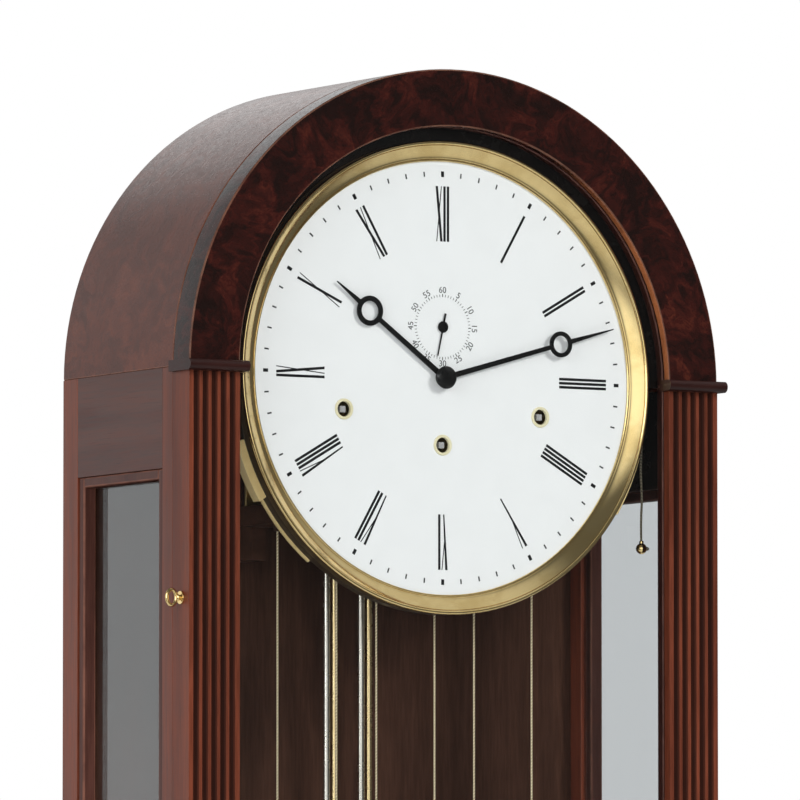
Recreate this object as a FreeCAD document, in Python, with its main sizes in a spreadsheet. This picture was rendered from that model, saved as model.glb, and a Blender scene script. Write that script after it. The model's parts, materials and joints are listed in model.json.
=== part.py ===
import FreeCAD, Part
import Sketcher
import math
import os
import re

# Longcase clock: arched case, glazed door with fluted pilasters, three weights and a seconds pendulum.
# Millimetres. X to the right, Y to the back, Z up; the origin is the middle of the underside.

doc = FreeCAD.newDocument("LongcaseClock")
sheet = doc.addObject("Spreadsheet::Sheet", "Sizes")

SIZES = {
    # case
    "case_width": 470,
    "dial_height": 1745,
    "carcass_depth": 170,
    "wall": 18,
    "back_board": 8,
    "front_stile": 15.5,
    "rear_stile": 23,
    "window_drop": 76,
    "lower_rail": 90,
    "pane": 3,
    "pane_recess": 12,
    "bead_width": 8,
    "bead_recess": 1.2,
    # base
    "base_height": 300,
    "base_step": 15,
    "base_reach": 51,
    "plinth_height": 80,
    "plinth_board": 15,
    "base_panel": 18,
    "moulding_height": 15,
    "moulding_overhang": 8,
    "moulding_inset": 12,
    "floor_lift": 20,
    "floor_thickness": 18,
    # door
    "door_gap": 0.5,
    "door_thickness": 25,
    "door_lift": 4,
    "frame_width": 44,
    "door_rail": 60,
    "glass_lip": 7.5,
    "glass_rebate": 7,
    "glass_play": 0.5,
    "door_pane": 3,
    "door_bead": 8,
    "flute_radius": 2.65,
    "flute_pitch": 7.8,
    "flute_margin": 30,
    "capital_height": 8.5,
    "capital_proud": 9,
    "capital_overhang": 4,
    "capital_relief": 0.1,
    # hinges
    "hinge_margin": 150,
    "hinge_drop": 195,
    "hinge_length": 72,
    "leaf_width": 16,
    "leaf_thickness": 2,
    "knuckle_radius": 3.5,
    "knuckle_gap": 0.5,
    "hinge_pin": 1.5,
    "running_gap": 0.05,
    # key and lock
    "key_drop": 175,
    "key_depth": 11.5,
    "key_shaft": 2,
    "key_bow": 6,
    "key_bow_wire": 1.4,
    "key_neck": 4,
    "bush_radius": 5,
    "bush_length": 6,
    "bush_proud": 1.5,
    "cam_length": 17.5,
    "cam_half_width": 3,
    "cam_thickness": 3,
    "cam_space": 6,
    "cam_swing_gap": 2,
    # dial
    "bezel_gap": 9.5,
    "bezel_width": 15.5,
    "bezel_proud": 8.5,
    "bezel_lip": 1,
    "bezel_lip_height": 3,
    "bezel_bowl": 5,
    "bezel_bowl_height": 4.25,
    "bezel_rim": 3,
    "bezel_edge": 1.5,
    "bezel_edge_drop": 2.5,
    "dial_depth": 22.5,
    "dial_thickness": 2,
    "bezel_seat": 5.5,
    "drum_step": 0.5,
    "drum_wall": 8,
    "drum_length": 8,
    "flange_width": 26,
    "flange_thickness": 3,
    "lug_reach": 6.5,
    "lug_length": 7,
    "lug_sweep": 15,
    "lug_turn": 17,
    "rim_reach": 1,
    "rim_sweep": 20,
    "mask_thickness": 3,
    "mask_gap": 5,
    "winding_spread": 87.5,
    "winding_drop": 27,
    "winding_drop_middle": 51.5,
    "grommet_radius": 8,
    "grommet_bore": 5.8,
    "grommet_tube": 7,
    "grommet_rim": 0.8,
    "grommet_chamfer": 0.6,
    "seconds_rise": 39,
    "seconds_hole": 2,
    "dial_hole_gap": 1,
    # hands
    "hand_sheet": 1.2,
    "hour_lift": 1.9,
    "hour_gap": 48,
    "hour_tip": 36,
    "hour_ring": 11.5,
    "hour_ring_bore": 7.5,
    "hour_stem": 4.6,
    "hour_pipe": 4,
    "pipe_gap": 0.3,
    "hour_wheel": 15,
    "minute_lift": 3.9,
    "minute_gap": 9,
    "minute_tip": 49.4,
    "minute_ring": 10,
    "minute_ring_bore": 6.7,
    "minute_stem": 4.3,
    "hand_tip": 0.8,
    "stem_taper": 0.4,
    "tip_taper": 0.45,
    "hand_hub": 7.5,
    "minute_arbor": 2,
    "centre_wheel": 20,
    "nut_radius": 8.75,
    "nut_height": 4.5,
    "nut_band": 0.3,
    "nut_shoulder": 0.75,
    "nut_shoulder_height": 0.8,
    "nut_crown": 0.35,
    "seconds_lift": 0.6,
    "seconds_sheet": 0.6,
    "seconds_reach": 22.7,
    "seconds_tail": 10.6,
    "seconds_hub": 4.4,
    "seconds_width": 1.6,
    "seconds_arbor": 1.5,
    "escape_wheel_radius": 20,
    "hour_angle": 306.4,
    "minute_angle": 74.1,
    "seconds_angle": 192,
    # movement
    "plate_depth": 58.5,
    "motion_gap": 4,
    "plate_thickness": 3,
    "plate_space": 57,
    "plate_half_width": 118,
    "plate_top": 95,
    "pillar_radius": 6,
    "pillar_inset": 12,
    "dial_post": 4,
    "dial_post_across": 70,
    "dial_post_up": 75,
    "seat_drop": 97,
    "seat_thickness": 15,
    "seat_half_width": 120,
    "seat_front_edge": 6,
    "seat_back_edge": 6,
    "bracket_width": 12,
    "bracket_height": 40,
    "bracket_across": 95,
    "wheel_gap": 8,
    "wheel_thickness": 3,
    "train_wheel": 2,
    "escape_wheel_at": 31,
    "centre_wheel_at": 19,
    # barrels, cables and weights
    "arbor_radius": 4,
    "arbor_end": 2,
    "arbor_recess": 1,
    "great_wheel": 36,
    "barrel_flange": 29,
    "barrel_flange_width": 2,
    "barrel_gap": 4,
    "cable_line": 26,
    "cable_radius": 0.85,
    "cable_gap": 0.15,
    "cable_hole": 3,
    "cable_hook": 6,
    "weight_depth": 78,
    "weight_drop": 450,
    "weight_radius": 30,
    "weight_length": 200,
    "weight_cap": 8,
    "pulley_rim": 29,
    "pulley_half_width": 3.5,
    "pulley_lip": 1.3,
    "groove_half_width": 1.1,
    "pulley_pin": 3,
    "stirrup_half_width": 6,
    "stirrup_plate": 2,
    "stirrup_gap": 1.5,
    "stirrup_base": 8,
    "stirrup_clearance": 6,
    # pendulum
    "pendulum_depth": 165,
    "suspension_rise": 70,
    "pendulum_length": 994,
    "suspension_pin": 2,
    "suspension_block": 8,
    "spring_length": 40,
    "spring_thickness": 0.5,
    "spring_half_width": 6,
    "chop_depth": 4,
    "top_bar_drop": 90,
    "bar_above_bob": 94,
    "bar_height": 14,
    "bar_half_depth": 5,
    "bar_end": 4,
    "rod_group": 15.5,
    "rod_pitch": 7,
    "rod_radius": 2.65,
    "stem_radius": 3,
    "stem_tail": 22,
    "bob_radius": 100,
    "bob_thickness": 40,
    "nut_clearance": 0.3,
    "rating_nut_radius": 9,
    "rating_nut_height": 10,
    "nut_chamfer": 1,
    "cock_gap": 10,
    "cock_leg": 4,
    "cock_length": 22,
    "cock_pin_length": 29,
    "anchor_half": 25,
    "pallet_width": 2.5,
    "pallet_drop": 27,
    "anchor_bar": 6,
    "crutch_width": 6,
    "crutch_drop": 97,
    # chime
    "bell_share": 0.12,
    "bell_step": 3,
    "bell_wall": 2,
    "bell_waist": 0.9,
    "bell_waist_height": 0.45,
    "bell_shoulder": 0.6,
    "bell_shoulder_height": 0.75,
    "bell_height": 0.85,
    "bell_space": 3,
    "bell_rod": 3,
    "bell_bar": 6,
    "bell_lift": 11,
    "hammer_across": 48,
    "hammer_ear": 6,
    "hammer_rise": 104,
    "hammer_arbor": 2,
    "hammer_arm": 2,
    "hammer_head": 3,
    "hammer_pitch": 7,
    "hammer_gap": 1.5,
    "strike_lift": 1,
    # repeat pull
    "lever_pivot": 115,
    "lever_drop": 30,
    "lever_height": 6,
    "lever_thickness": 3,
    "lever_space": 14,
    "lever_tail": 9,
    "lever_pin": 2,
    "cord_inset": 25,
    "cord_radius": 1,
    "cord_gap": 0.3,
    "ball_drop": 124,
    "ball_radius": 4.25,
}

for row, (alias, number) in enumerate(SIZES.items(), start=1):
    sheet.set(f"A{row}", alias.replace("_", " "))
    sheet.set(f"B{row}", str(number))
    sheet.setAlias(f"B{row}", alias)
doc.recompute()

HALF_TURN = 180
FLUTES = 5
HINGES = 3
BELLS = 4

UP = FreeCAD.Rotation()
FRONT = FreeCAD.Rotation(FreeCAD.Vector(1, 0, 0), 90)
BACK = FreeCAD.Rotation(FreeCAD.Vector(1, 0, 0), -90)
RIGHT = FreeCAD.Rotation(FreeCAD.Vector(0, 1, 0), 90)

sub_parts = []


# Helpers: every size and place is an expression on the sheet's aliases


def linked(text):
    def cell(word):
        return "Sizes." + word.group() if word.group() in SIZES else word.group()

    return re.sub(r"[a-z][a-z_]*", cell, str(text))


def number_of(alias):
    return float(sheet.get(alias))


def place(item, corner, turn=UP):
    item.Placement = FreeCAD.Placement(FreeCAD.Vector(), turn)
    for axis, text in zip("xyz", corner):
        item.setExpression(f"Placement.Base.{axis}", linked(text))
    return item


def solid(kind, name, corner, turn=UP, **sizes):
    item = doc.addObject(kind, name)
    for prop, text in sizes.items():
        item.setExpression(prop, linked(text))
    return place(item, corner, turn)


def box(name, corner, size):
    return solid("Part::Box", name, corner, Length=size[0], Width=size[1], Height=size[2])


def rod(name, radius, length, start, turn=UP, sweep=2 * HALF_TURN):
    return solid("Part::Cylinder", name, start, turn, Radius=radius, Height=length, Angle=sweep)


def ring_wire(name, radius, wire, middle, turn, sweep=2 * HALF_TURN):
    return solid("Part::Torus", name, middle, turn, Radius1=radius, Radius2=wire, Angle3=sweep)


def group(name, items):
    item = doc.addObject("Part::Compound", name)
    item.Links = items
    return item


def fuse(name, items):
    item = doc.addObject("Part::MultiFuse", name)
    item.Shapes = items
    item.Refine = True
    return item


def carve(name, base, *tools):
    item = doc.addObject("Part::Cut", name)
    item.Base = base
    item.Tool = tools[0] if len(tools) == 1 else fuse(name + "_tools", list(tools))
    return item


def part(item):
    sub_parts.append(item)
    return item


def outline_sketch(body, name, outline):
    sketch = body.newObject("Sketcher::SketchObject", name)
    plane = [feature for feature in body.Origin.OriginFeatures if feature.Role == "XZ_Plane"][0]
    sketch.AttachmentSupport = [(plane, "")]
    sketch.MapMode = "FlatFace"
    count = len(outline)
    turns = [2 * math.pi * index / count for index in range(count)]
    start = [FreeCAD.Vector(20 + 10 * math.cos(turn), 10 * math.sin(turn), 0) for turn in turns]
    for index in range(count):
        sketch.addGeometry(Part.LineSegment(start[index], start[(index + 1) % count]))
    for index in range(count):
        sketch.addConstraint(Sketcher.Constraint("Coincident", index, 2, (index + 1) % count, 1))
    for index, (across, up) in enumerate(outline):
        for kind, axis, number, text in (
            ("DistanceX", -2, start[index].x, across),
            ("DistanceY", -1, start[index].y, up),
        ):
            if text == "0":
                sketch.addConstraint(Sketcher.Constraint("PointOnObject", index, 1, axis))
            else:
                spot = sketch.addConstraint(Sketcher.Constraint(kind, -1, 1, index, 1, number))
                sketch.setExpression(f"Constraints[{spot}]", linked(text))
    return sketch


def turned(name, outline, start, turn=UP):
    body = doc.addObject("PartDesign::Body", name)
    sketch = outline_sketch(body, name + "_profile", outline)
    lathe = body.newObject("PartDesign::Revolution", name + "_turn")
    lathe.Profile = sketch
    lathe.ReferenceAxis = (sketch, ["V_Axis"])
    lathe.Angle = 2 * HALF_TURN
    return place(body, start, turn)


def padded(name, outline, thickness, start):
    body = doc.addObject("PartDesign::Body", name)
    sketch = outline_sketch(body, name + "_outline", outline)
    pad = body.newObject("PartDesign::Pad", name + "_pad")
    pad.Profile = sketch
    pad.setExpression("Length", linked(thickness))
    return place(body, start)


# Planes that several pieces share
half = "(case_width / 2)"
inner = "(case_width / 2 - wall)"
back = "((carcass_depth + base_reach + plinth_board) / 2)"
carcass = f"({back} - carcass_depth)"
door_back = f"({carcass} - door_gap)"
door_front = f"({carcass} - door_gap - door_thickness)"
door_foot = "(base_height + door_lift)"
sight = "(case_width / 2 - frame_width)"
base_half = "(case_width / 2 + base_step)"
base_front = f"({carcass} - base_reach)"
base_top = "(base_height - moulding_height)"
bezel_radius = f"({sight} - bezel_gap)"
bezel_inner = f"({bezel_radius} - bezel_width)"
dial_radius = f"({bezel_radius} - bezel_seat)"
drum_radius = f"({bezel_radius} - drum_step)"
dial_face = f"({door_front} + dial_depth)"
dial_rear = f"({dial_face} + dial_thickness)"
flange_front = f"({dial_rear} + drum_length)"
plate_front = f"({door_front} + plate_depth)"
plate_inside = f"({plate_front} + plate_thickness)"
plate_rear_inside = f"({plate_inside} + plate_space)"
plate_back = f"({plate_rear_inside} + plate_thickness)"
cable_plane = f"({door_front} + weight_depth)"
pendulum_plane = f"({door_front} + pendulum_depth)"
suspension = "(dial_height + suspension_rise)"
seat_top = "(dial_height - seat_drop)"
seat_under = "(dial_height - seat_drop - seat_thickness)"

TRAINS = {
    "left": ("-winding_spread", "(dial_height - winding_drop)"),
    "centre": ("0", "(dial_height - winding_drop_middle)"),
    "right": ("winding_spread", "(dial_height - winding_drop)"),
}


def both_sides(name, far, near, low, size_y, size_z):
    width = f"({far}) - ({near})"
    left = box(name + "_left", (f"-({far})", low[0], low[1]), (width, size_y, size_z))
    right = box(name + "_right", (near, low[0], low[1]), (width, size_y, size_z))
    return [left, right]


def make_base():
    panel_depth = f"{back} - {base_front} - base_panel"
    part(box("base_front_panel", (f"-{base_half}", base_front, "0"),
             (f"2 * {base_half}", "base_panel", base_top)))
    panel_start = (f"{base_front} + base_panel", "0")
    sides = both_sides("base_side", base_half, f"{base_half} - base_panel", panel_start, panel_depth, base_top)
    part(group("base_side_panels", sides))
    floor_half = f"({base_half} - base_panel)"
    part(box("floor_board", (f"-{floor_half}", f"{base_front} + base_panel", "floor_lift"),
             (f"2 * {floor_half}", f"{panel_depth} - back_board", "floor_thickness")))
    plinth_half = f"({base_half} + plinth_board)"
    plinth_front = box("plinth_front", (f"-{plinth_half}", f"{base_front} - plinth_board", "0"),
                       (f"2 * {plinth_half}", "plinth_board", "plinth_height"))
    plinth_sides = both_sides("plinth_side", plinth_half, base_half, (base_front, "0"),
                              f"{back} - {base_front}", "plinth_height")
    part(group("plinth_boards", [plinth_front] + plinth_sides))
    edge = f"({base_half} + moulding_overhang)"
    edge_front = f"({base_front} - moulding_overhang)"
    ledge = f"({carcass} + moulding_inset)"
    moulding_front = box("moulding_front", (f"-{edge}", edge_front, base_top),
                         (f"2 * {edge}", f"{ledge} - {edge_front}", "moulding_height"))
    moulding_sides = both_sides("moulding_side", edge, inner, (ledge, base_top),
                                f"{back} - {ledge}", "moulding_height")
    part(group("base_moulding", [moulding_front] + moulding_sides))


def make_trunk():
    height = "dial_height - base_height"
    window = "carcass_depth - front_stile - rear_stile"
    window_start = f"{carcass} + front_stile"
    front = both_sides("front_stile_piece", half, inner, (carcass, "base_height"), "front_stile", height)
    rear = both_sides("rear_stile_piece", half, inner, (f"{back} - rear_stile", "base_height"),
                      "rear_stile", height)
    cam_low = f"{key_height()} - cam_half_width - cam_swing_gap"
    mortise = box("cam_mortise", (f"-{half} + bush_length", carcass, cam_low),
                  ("cam_space", "front_stile / 2", "cam_length"))
    front[0] = carve("front_stile_cut_left", front[0], mortise)
    recesses = [box(f"case_leaf_recess_{index}", (f"{half} - leaf_width", carcass, hinge_foot(index)),
                    ("leaf_width", "leaf_thickness", "hinge_length")) for index in range(HINGES)]
    front[1] = carve("front_stile_cut_right", front[1], *recesses)
    part(group("trunk_side_stiles", front + rear))
    window_top = "(dial_height - window_drop)"
    top = both_sides("top_rail", half, inner, (window_start, window_top), window, "window_drop")
    low = both_sides("low_rail", half, inner, (window_start, "base_height"), window, "lower_rail")
    part(group("trunk_side_rails", top + low))
    sill = "(base_height + lower_rail)"
    tall = f"({window_top} - {sill})"
    pane_out = f"({half} - pane_recess)"
    panes = both_sides("side_pane", pane_out, f"{pane_out} - pane", (window_start, sill), window, tall)
    part(group("side_glass_panes", panes))
    bead_out = f"{half} - bead_recess"
    beads = []
    for label, start, size_y, size_z in (
        ("front", (window_start, sill), "bead_width", tall),
        ("rear", (f"{back} - rear_stile - bead_width", sill), "bead_width", tall),
        ("low", (f"{window_start} + bead_width", sill), f"{window} - 2 * bead_width", "bead_width"),
        ("top", (f"{window_start} + bead_width", f"{window_top} - bead_width"),
         f"{window} - 2 * bead_width", "bead_width"),
    ):
        beads += both_sides(f"side_bead_{label}", bead_out, pane_out, start, size_y, size_z)
    part(group("side_glass_beads", beads))
    crown = rod("back_crown", inner, "back_board", ("0", back, "dial_height"), FRONT, HALF_TURN)
    field = box("back_field", (f"-{inner}", f"{back} - back_board", base_top),
                (f"2 * {inner}", "back_board", f"dial_height - {base_top}"))
    base_inside = f"({base_half} - base_panel)"
    lower = box("back_lower", (f"-{base_inside}", f"{back} - back_board", "0"),
                (f"2 * {base_inside}", "back_board", base_top))
    part(group("back_panel", [fuse("back_arched", [crown, field]), lower]))
    barrel_vault = rod("hood_outside", half, "carcass_depth", ("0", back, "dial_height"), FRONT, HALF_TURN)
    hollow = rod("hood_inside", inner, "carcass_depth", ("0", back, "dial_height"), FRONT)
    part(carve("hood_shell", barrel_vault, hollow))


def key_height():
    return "(dial_height - key_drop)"


def key_plane():
    return f"({door_front} + key_depth)"


def hinge_foot(index):
    lowest = "(base_height + hinge_margin)"
    spacing = f"((dial_height - hinge_drop - {lowest}) / {HINGES - 1})"
    return f"({lowest} + {index} * {spacing})"


hinge_across = f"({half} + knuckle_gap + knuckle_radius)"
hinge_plane = f"({carcass} - door_gap / 2)"


def knuckle(name, low, length, tongue_y):
    barrel = rod(name + "_barrel", "knuckle_radius", length, (hinge_across, hinge_plane, low))
    tongue = box(name + "_tongue", (half, tongue_y, low),
                 (f"{hinge_across} - {half}", "leaf_thickness", length))
    return [barrel, tongue]


def make_hinges():
    case_leaves = []
    door_leaves = []
    third = "(hinge_length / 3)"
    for index in range(HINGES):
        foot = hinge_foot(index)
        leaf = box(f"case_leaf_{index}", (f"{half} - leaf_width", carcass, foot),
                   ("leaf_width", "leaf_thickness", "hinge_length"))
        low = knuckle(f"case_knuckle_low_{index}", foot, third, carcass)
        high = knuckle(f"case_knuckle_high_{index}", f"{foot} + 2 * {third}", third, carcass)
        pin = rod(f"hinge_pin_{index}", "hinge_pin", "hinge_length", (hinge_across, hinge_plane, foot))
        case_leaves.append(fuse(f"case_hinge_{index}", [leaf, pin] + low + high))
        door_leaf = box(f"door_leaf_{index}", (f"{half} - leaf_width", f"{door_back} - leaf_thickness", foot),
                        ("leaf_width", "leaf_thickness", "hinge_length"))
        middle = knuckle(f"door_knuckle_{index}", f"{foot} + {third} + nut_clearance",
                         f"{third} - 2 * nut_clearance", f"{door_back} - leaf_thickness")
        blank = fuse(f"door_hinge_blank_{index}", [door_leaf] + middle)
        bore = rod(f"hinge_bore_{index}", "hinge_pin + running_gap", "hinge_length",
                   (hinge_across, hinge_plane, foot))
        door_leaves.append(carve(f"door_hinge_{index}", blank, bore))
    part(group("case_hinge_leaves", case_leaves))
    part(group("door_hinge_leaves", door_leaves))


def pilaster(side, left_edge, rebate_edge):
    tall = f"dial_height - {door_foot}"
    post = box(f"{side}_post", (left_edge, door_front, door_foot), ("frame_width", "door_thickness", tall))
    rebate_low = f"({door_foot} + door_rail - glass_rebate)"
    rebate = box(f"{side}_rebate", (rebate_edge, f"{door_front} + glass_lip", rebate_low),
                 ("glass_rebate", "door_thickness - glass_lip", f"dial_height - {rebate_low}"))
    cuts = [rebate]
    for index in range(FLUTES):
        across = f"{left_edge} + frame_width / 2 + {index - FLUTES // 2} * flute_pitch"
        cuts.append(rod(f"{side}_flute_{index}", "flute_radius",
                        f"{tall} - flute_margin - capital_height / 2",
                        (across, door_front, f"{door_foot} + flute_margin")))
    return post, cuts


def make_door():
    outside = rod("arch_outside", half, "door_thickness", ("0", door_back, "dial_height"), FRONT, HALF_TURN)
    sight_hole = rod("arch_sight", sight, "door_thickness", ("0", door_back, "dial_height"), FRONT)
    rebate = rod("arch_rebate", f"{sight} + glass_rebate", "door_thickness - glass_lip",
                 ("0", door_back, "dial_height"), FRONT)
    part(carve("door_arch", outside, sight_hole, rebate))
    post, cuts = pilaster("left", f"-{half}", f"-{sight} - glass_rebate")
    bush_hole = rod("bush_hole", "bush_radius", "bush_length", (f"-{half}", key_plane(), key_height()), RIGHT)
    cam_foot = "(cam_half_width + cam_swing_gap)"
    cam_room = box("cam_room", (f"-{half} + bush_length", f"{key_plane()} - {cam_foot}",
                                f"{key_height()} - {cam_foot}"),
                   ("cam_space", f"{door_back} - {key_plane()} + {cam_foot}",
                    f"cam_length + {cam_foot} + cam_swing_gap"))
    part(carve("door_left_pilaster", post, bush_hole, cam_room, *cuts))
    post, cuts = pilaster("right", sight, sight)
    recesses = [box(f"door_leaf_recess_{index}",
                    (f"{half} - leaf_width", f"{door_back} - leaf_thickness", hinge_foot(index)),
                    ("leaf_width", "leaf_thickness", "hinge_length")) for index in range(HINGES)]
    part(carve("door_right_pilaster", post, *cuts, *recesses))
    rail = box("rail_blank", (f"-{sight}", door_front, door_foot),
               (f"2 * {sight}", "door_thickness", "door_rail"))
    rail_rebate = box("rail_rebate", (f"-{sight}", f"{door_front} + glass_lip",
                                      f"{door_foot} + door_rail - glass_rebate"),
                      (f"2 * {sight}", "door_thickness - glass_lip", "glass_rebate"))
    part(carve("door_bottom_rail", rail, rail_rebate))
    glass_edge = f"({sight} + glass_rebate - glass_play)"
    glass_front = f"({door_front} + glass_lip)"
    glass_back = f"({glass_front} + door_pane)"
    glass_low = f"({door_foot} + door_rail - glass_rebate + glass_play)"
    crown = rod("glass_crown", glass_edge, "door_pane", ("0", glass_back, "dial_height"), FRONT, HALF_TURN)
    sheet_glass = box("glass_sheet", (f"-{glass_edge}", glass_front, glass_low),
                      (f"2 * {glass_edge}", "door_pane", f"dial_height - {glass_low}"))
    part(fuse("door_glass", [crown, sheet_glass]))
    bead_back = f"({glass_back} + door_bead)"
    bead_ring = carve(
        "bead_arch",
        rod("bead_arch_outside", f"{sight} + glass_rebate", "door_bead", ("0", bead_back, "dial_height"),
            FRONT, HALF_TURN),
        rod("bead_arch_inside", sight, "door_bead", ("0", bead_back, "dial_height"), FRONT))
    rail_top = f"({door_foot} + door_rail)"
    bead_sides = both_sides("bead_side", f"{sight} + glass_rebate", sight, (glass_back, rail_top),
                            "door_bead", f"dial_height - {rail_top}")
    bead_low = box("bead_low", (f"-{sight}", glass_back, f"{rail_top} - glass_rebate"),
                   (f"2 * {sight}", "door_bead", "glass_rebate"))
    part(group("door_glass_beads", [bead_ring, bead_low] + bead_sides))
    part(group("capital_mouldings", [capital("left", f"-{half}"), capital("right", sight)]))


def capital(side, left_edge):
    low = "dial_height - capital_height / 2"
    nose_plane = f"({door_front} - capital_proud + capital_height / 2)"
    start = f"{left_edge} - capital_overhang"
    long = "frame_width + 2 * capital_overhang"
    nose = rod(f"{side}_nose", "capital_height / 2", long, (start, nose_plane, "dial_height"), RIGHT)
    pieces = [nose, box(f"{side}_shelf", (start, nose_plane, low),
                        (long, f"{door_front} - {nose_plane}", "capital_height"))]
    # the outer return runs to the back of the door, the inner one stops at the pane
    runs = ("door_thickness", "glass_lip") if side == "left" else ("glass_lip", "door_thickness")
    starts = (start, f"{left_edge} + frame_width + capital_relief")
    for end, across, run in zip(("first", "last"), starts, runs):
        pieces.append(box(f"{side}_return_{end}", (across, door_front, low),
                          ("capital_overhang - capital_relief", run, "capital_height")))
    return fuse(f"{side}_capital", pieces)


def make_lock():
    start = (f"-{half} - bush_proud", key_plane(), key_height())
    bush = rod("bush_blank", "bush_radius", "bush_length + bush_proud", start, RIGHT)
    bore = rod("bush_bore", "key_shaft + running_gap", "bush_length + bush_proud", start, RIGHT)
    part(carve("lock_bush", bush, bore))
    bow_across = f"-{half} - key_neck - key_bow"
    bow = ring_wire("key_bow_ring", "key_bow", "key_bow_wire", (bow_across, key_plane(), key_height()), FRONT)
    shaft = rod("key_shaft_rod", "key_shaft", "key_neck + bush_length + (cam_space + cam_thickness) / 2",
                (f"-{half} - key_neck", key_plane(), key_height()), RIGHT)
    cam = box("key_cam", (f"-{half} + bush_length + (cam_space - cam_thickness) / 2",
                          f"{key_plane()} - cam_half_width", f"{key_height()} - cam_half_width"),
              ("cam_thickness", "2 * cam_half_width", "cam_half_width + cam_length"))
    part(fuse("door_key", [bow, shaft, cam]))


def make_dial():
    centre = ("0", dial_face, "dial_height")
    part(turned("bezel", [
        (bezel_inner, "0"),
        (f"{bezel_inner} + bezel_lip", "bezel_lip_height"),
        (f"{bezel_inner} + bezel_bowl", "bezel_bowl_height"),
        (f"{bezel_radius} - bezel_edge - bezel_rim", "bezel_proud"),
        (f"{bezel_radius} - bezel_edge", "bezel_proud"),
        (bezel_radius, "bezel_proud - bezel_edge_drop"),
        (bezel_radius, "-dial_thickness"),
        (dial_radius, "-dial_thickness"),
        (dial_radius, "0"),
    ], centre, FRONT))
    disc = rod("dial_disc", dial_radius, "dial_thickness", ("0", dial_rear, "dial_height"), FRONT)
    holes = [
        rod("dial_hole_centre", "hour_pipe + dial_hole_gap", "dial_thickness",
            ("0", dial_rear, "dial_height"), FRONT),
        rod("dial_hole_seconds", "seconds_hole", "dial_thickness",
            ("0", dial_rear, "dial_height + seconds_rise"), FRONT),
    ]
    grommets = []
    for side, (across, up) in TRAINS.items():
        holes.append(rod(f"dial_hole_{side}", "grommet_tube", "dial_thickness",
                         (across, dial_rear, up), FRONT))
        grommets.append(turned(f"grommet_{side}", [
            ("grommet_bore", "-dial_thickness"),
            ("grommet_tube", "-dial_thickness"),
            ("grommet_tube", "0"),
            ("grommet_radius", "0"),
            ("grommet_radius - grommet_chamfer", "grommet_rim"),
            ("grommet_bore", "grommet_rim"),
        ], (across, dial_face, up), FRONT))
    part(carve("dial_plate", disc, *holes))
    part(group("winding_grommets", grommets))
    drum_start = ("0", flange_front, "dial_height")
    drum = carve("drum_ring", rod("drum_outside", drum_radius, "drum_length", drum_start, FRONT),
                 rod("drum_inside", f"{drum_radius} - drum_wall", "drum_length", drum_start, FRONT))
    # black mask board that fills the arch round the drum, a little behind the bezel
    mask_start = ("0", f"{dial_rear} + mask_gap + mask_thickness", "dial_height")
    mask = carve("arch_mask", rod("mask_outside", inner, "mask_thickness", mask_start, FRONT, HALF_TURN),
                 rod("mask_inside", drum_radius, "mask_thickness", mask_start, FRONT))
    part(group("dial_drum", [drum, mask]))
    flange_start = ("0", f"{flange_front} + flange_thickness", "dial_height")
    ring = rod("flange_outside", dial_radius, "flange_thickness", flange_start, FRONT)
    # two lugs reach forward beside the drum, and below each is a short rim
    lug_end = number_of("lug_turn") + number_of("lug_sweep")
    rim_end = lug_end + number_of("rim_sweep")
    sectors = []
    for label, reach, angle, sweep in (
        ("lug_left", "lug_reach", HALF_TURN + number_of("lug_turn"), "lug_sweep"),
        ("rim_left", "rim_reach", HALF_TURN + lug_end, "rim_sweep"),
        ("lug_right", "lug_reach", -lug_end, "lug_sweep"),
        ("rim_right", "rim_reach", -rim_end, "rim_sweep"),
    ):
        turn = FRONT * FreeCAD.Rotation(FreeCAD.Vector(0, 0, 1), angle)
        radius = f"{bezel_radius} + {reach}"
        sectors.append(rod(f"flange_{label}", radius, "flange_thickness", flange_start, turn, sweep))
        if reach == "lug_reach":
            tab = rod(f"flange_tab_{label}", radius, "lug_length", drum_start, turn, sweep)
            bore = rod(f"flange_bore_{label}", drum_radius, "lug_length", drum_start, FRONT)
            sectors.append(carve(f"flange_ear_{label}", tab, bore))
    hole = rod("flange_inside", f"{dial_radius} - flange_width", "flange_thickness", flange_start, FRONT)
    part(carve("dial_flange", fuse("flange_blank", [ring] + sectors), hole))


def ring_hand(name, lift, reach, ring_at, ring, bore, stem, hub_bore):
    start = ("0", f"-({lift})", "0")
    below = f"{ring_at} - {bore} - hand_tip"
    above = f"{ring_at} + {bore} + hand_tip"
    stem_piece = padded(name + "_stem", [
        (f"-{stem} / 2", "0"), (f"{stem} / 2", "0"),
        (f"{stem} * stem_taper", below), (f"-{stem} * stem_taper", below),
    ], "hand_sheet", start)
    tip = padded(name + "_tip", [
        (f"-{stem} * tip_taper", above), (f"{stem} * tip_taper", above),
        ("hand_tip / 2", reach), ("-hand_tip / 2", reach),
    ], "hand_sheet", start)
    eye = carve(name + "_ring",
                rod(name + "_ring_outside", ring, "hand_sheet", ("0", f"-({lift})", ring_at), FRONT),
                rod(name + "_ring_inside", bore, "hand_sheet", ("0", f"-({lift})", ring_at), FRONT))
    hub = rod(name + "_hub", "hand_hub", "hand_sheet", start, FRONT)
    blank = fuse(name + "_blank", [stem_piece, tip, eye, hub])
    return carve(name + "_sheet", blank, rod(name + "_bore", hub_bore, "hand_sheet", start, FRONT))


def set_clock(item, rise, angle):
    place(item, ("0", dial_face, f"dial_height + {rise}"),
          FreeCAD.Rotation(FreeCAD.Vector(0, 1, 0), number_of(angle)))
    return item


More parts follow.
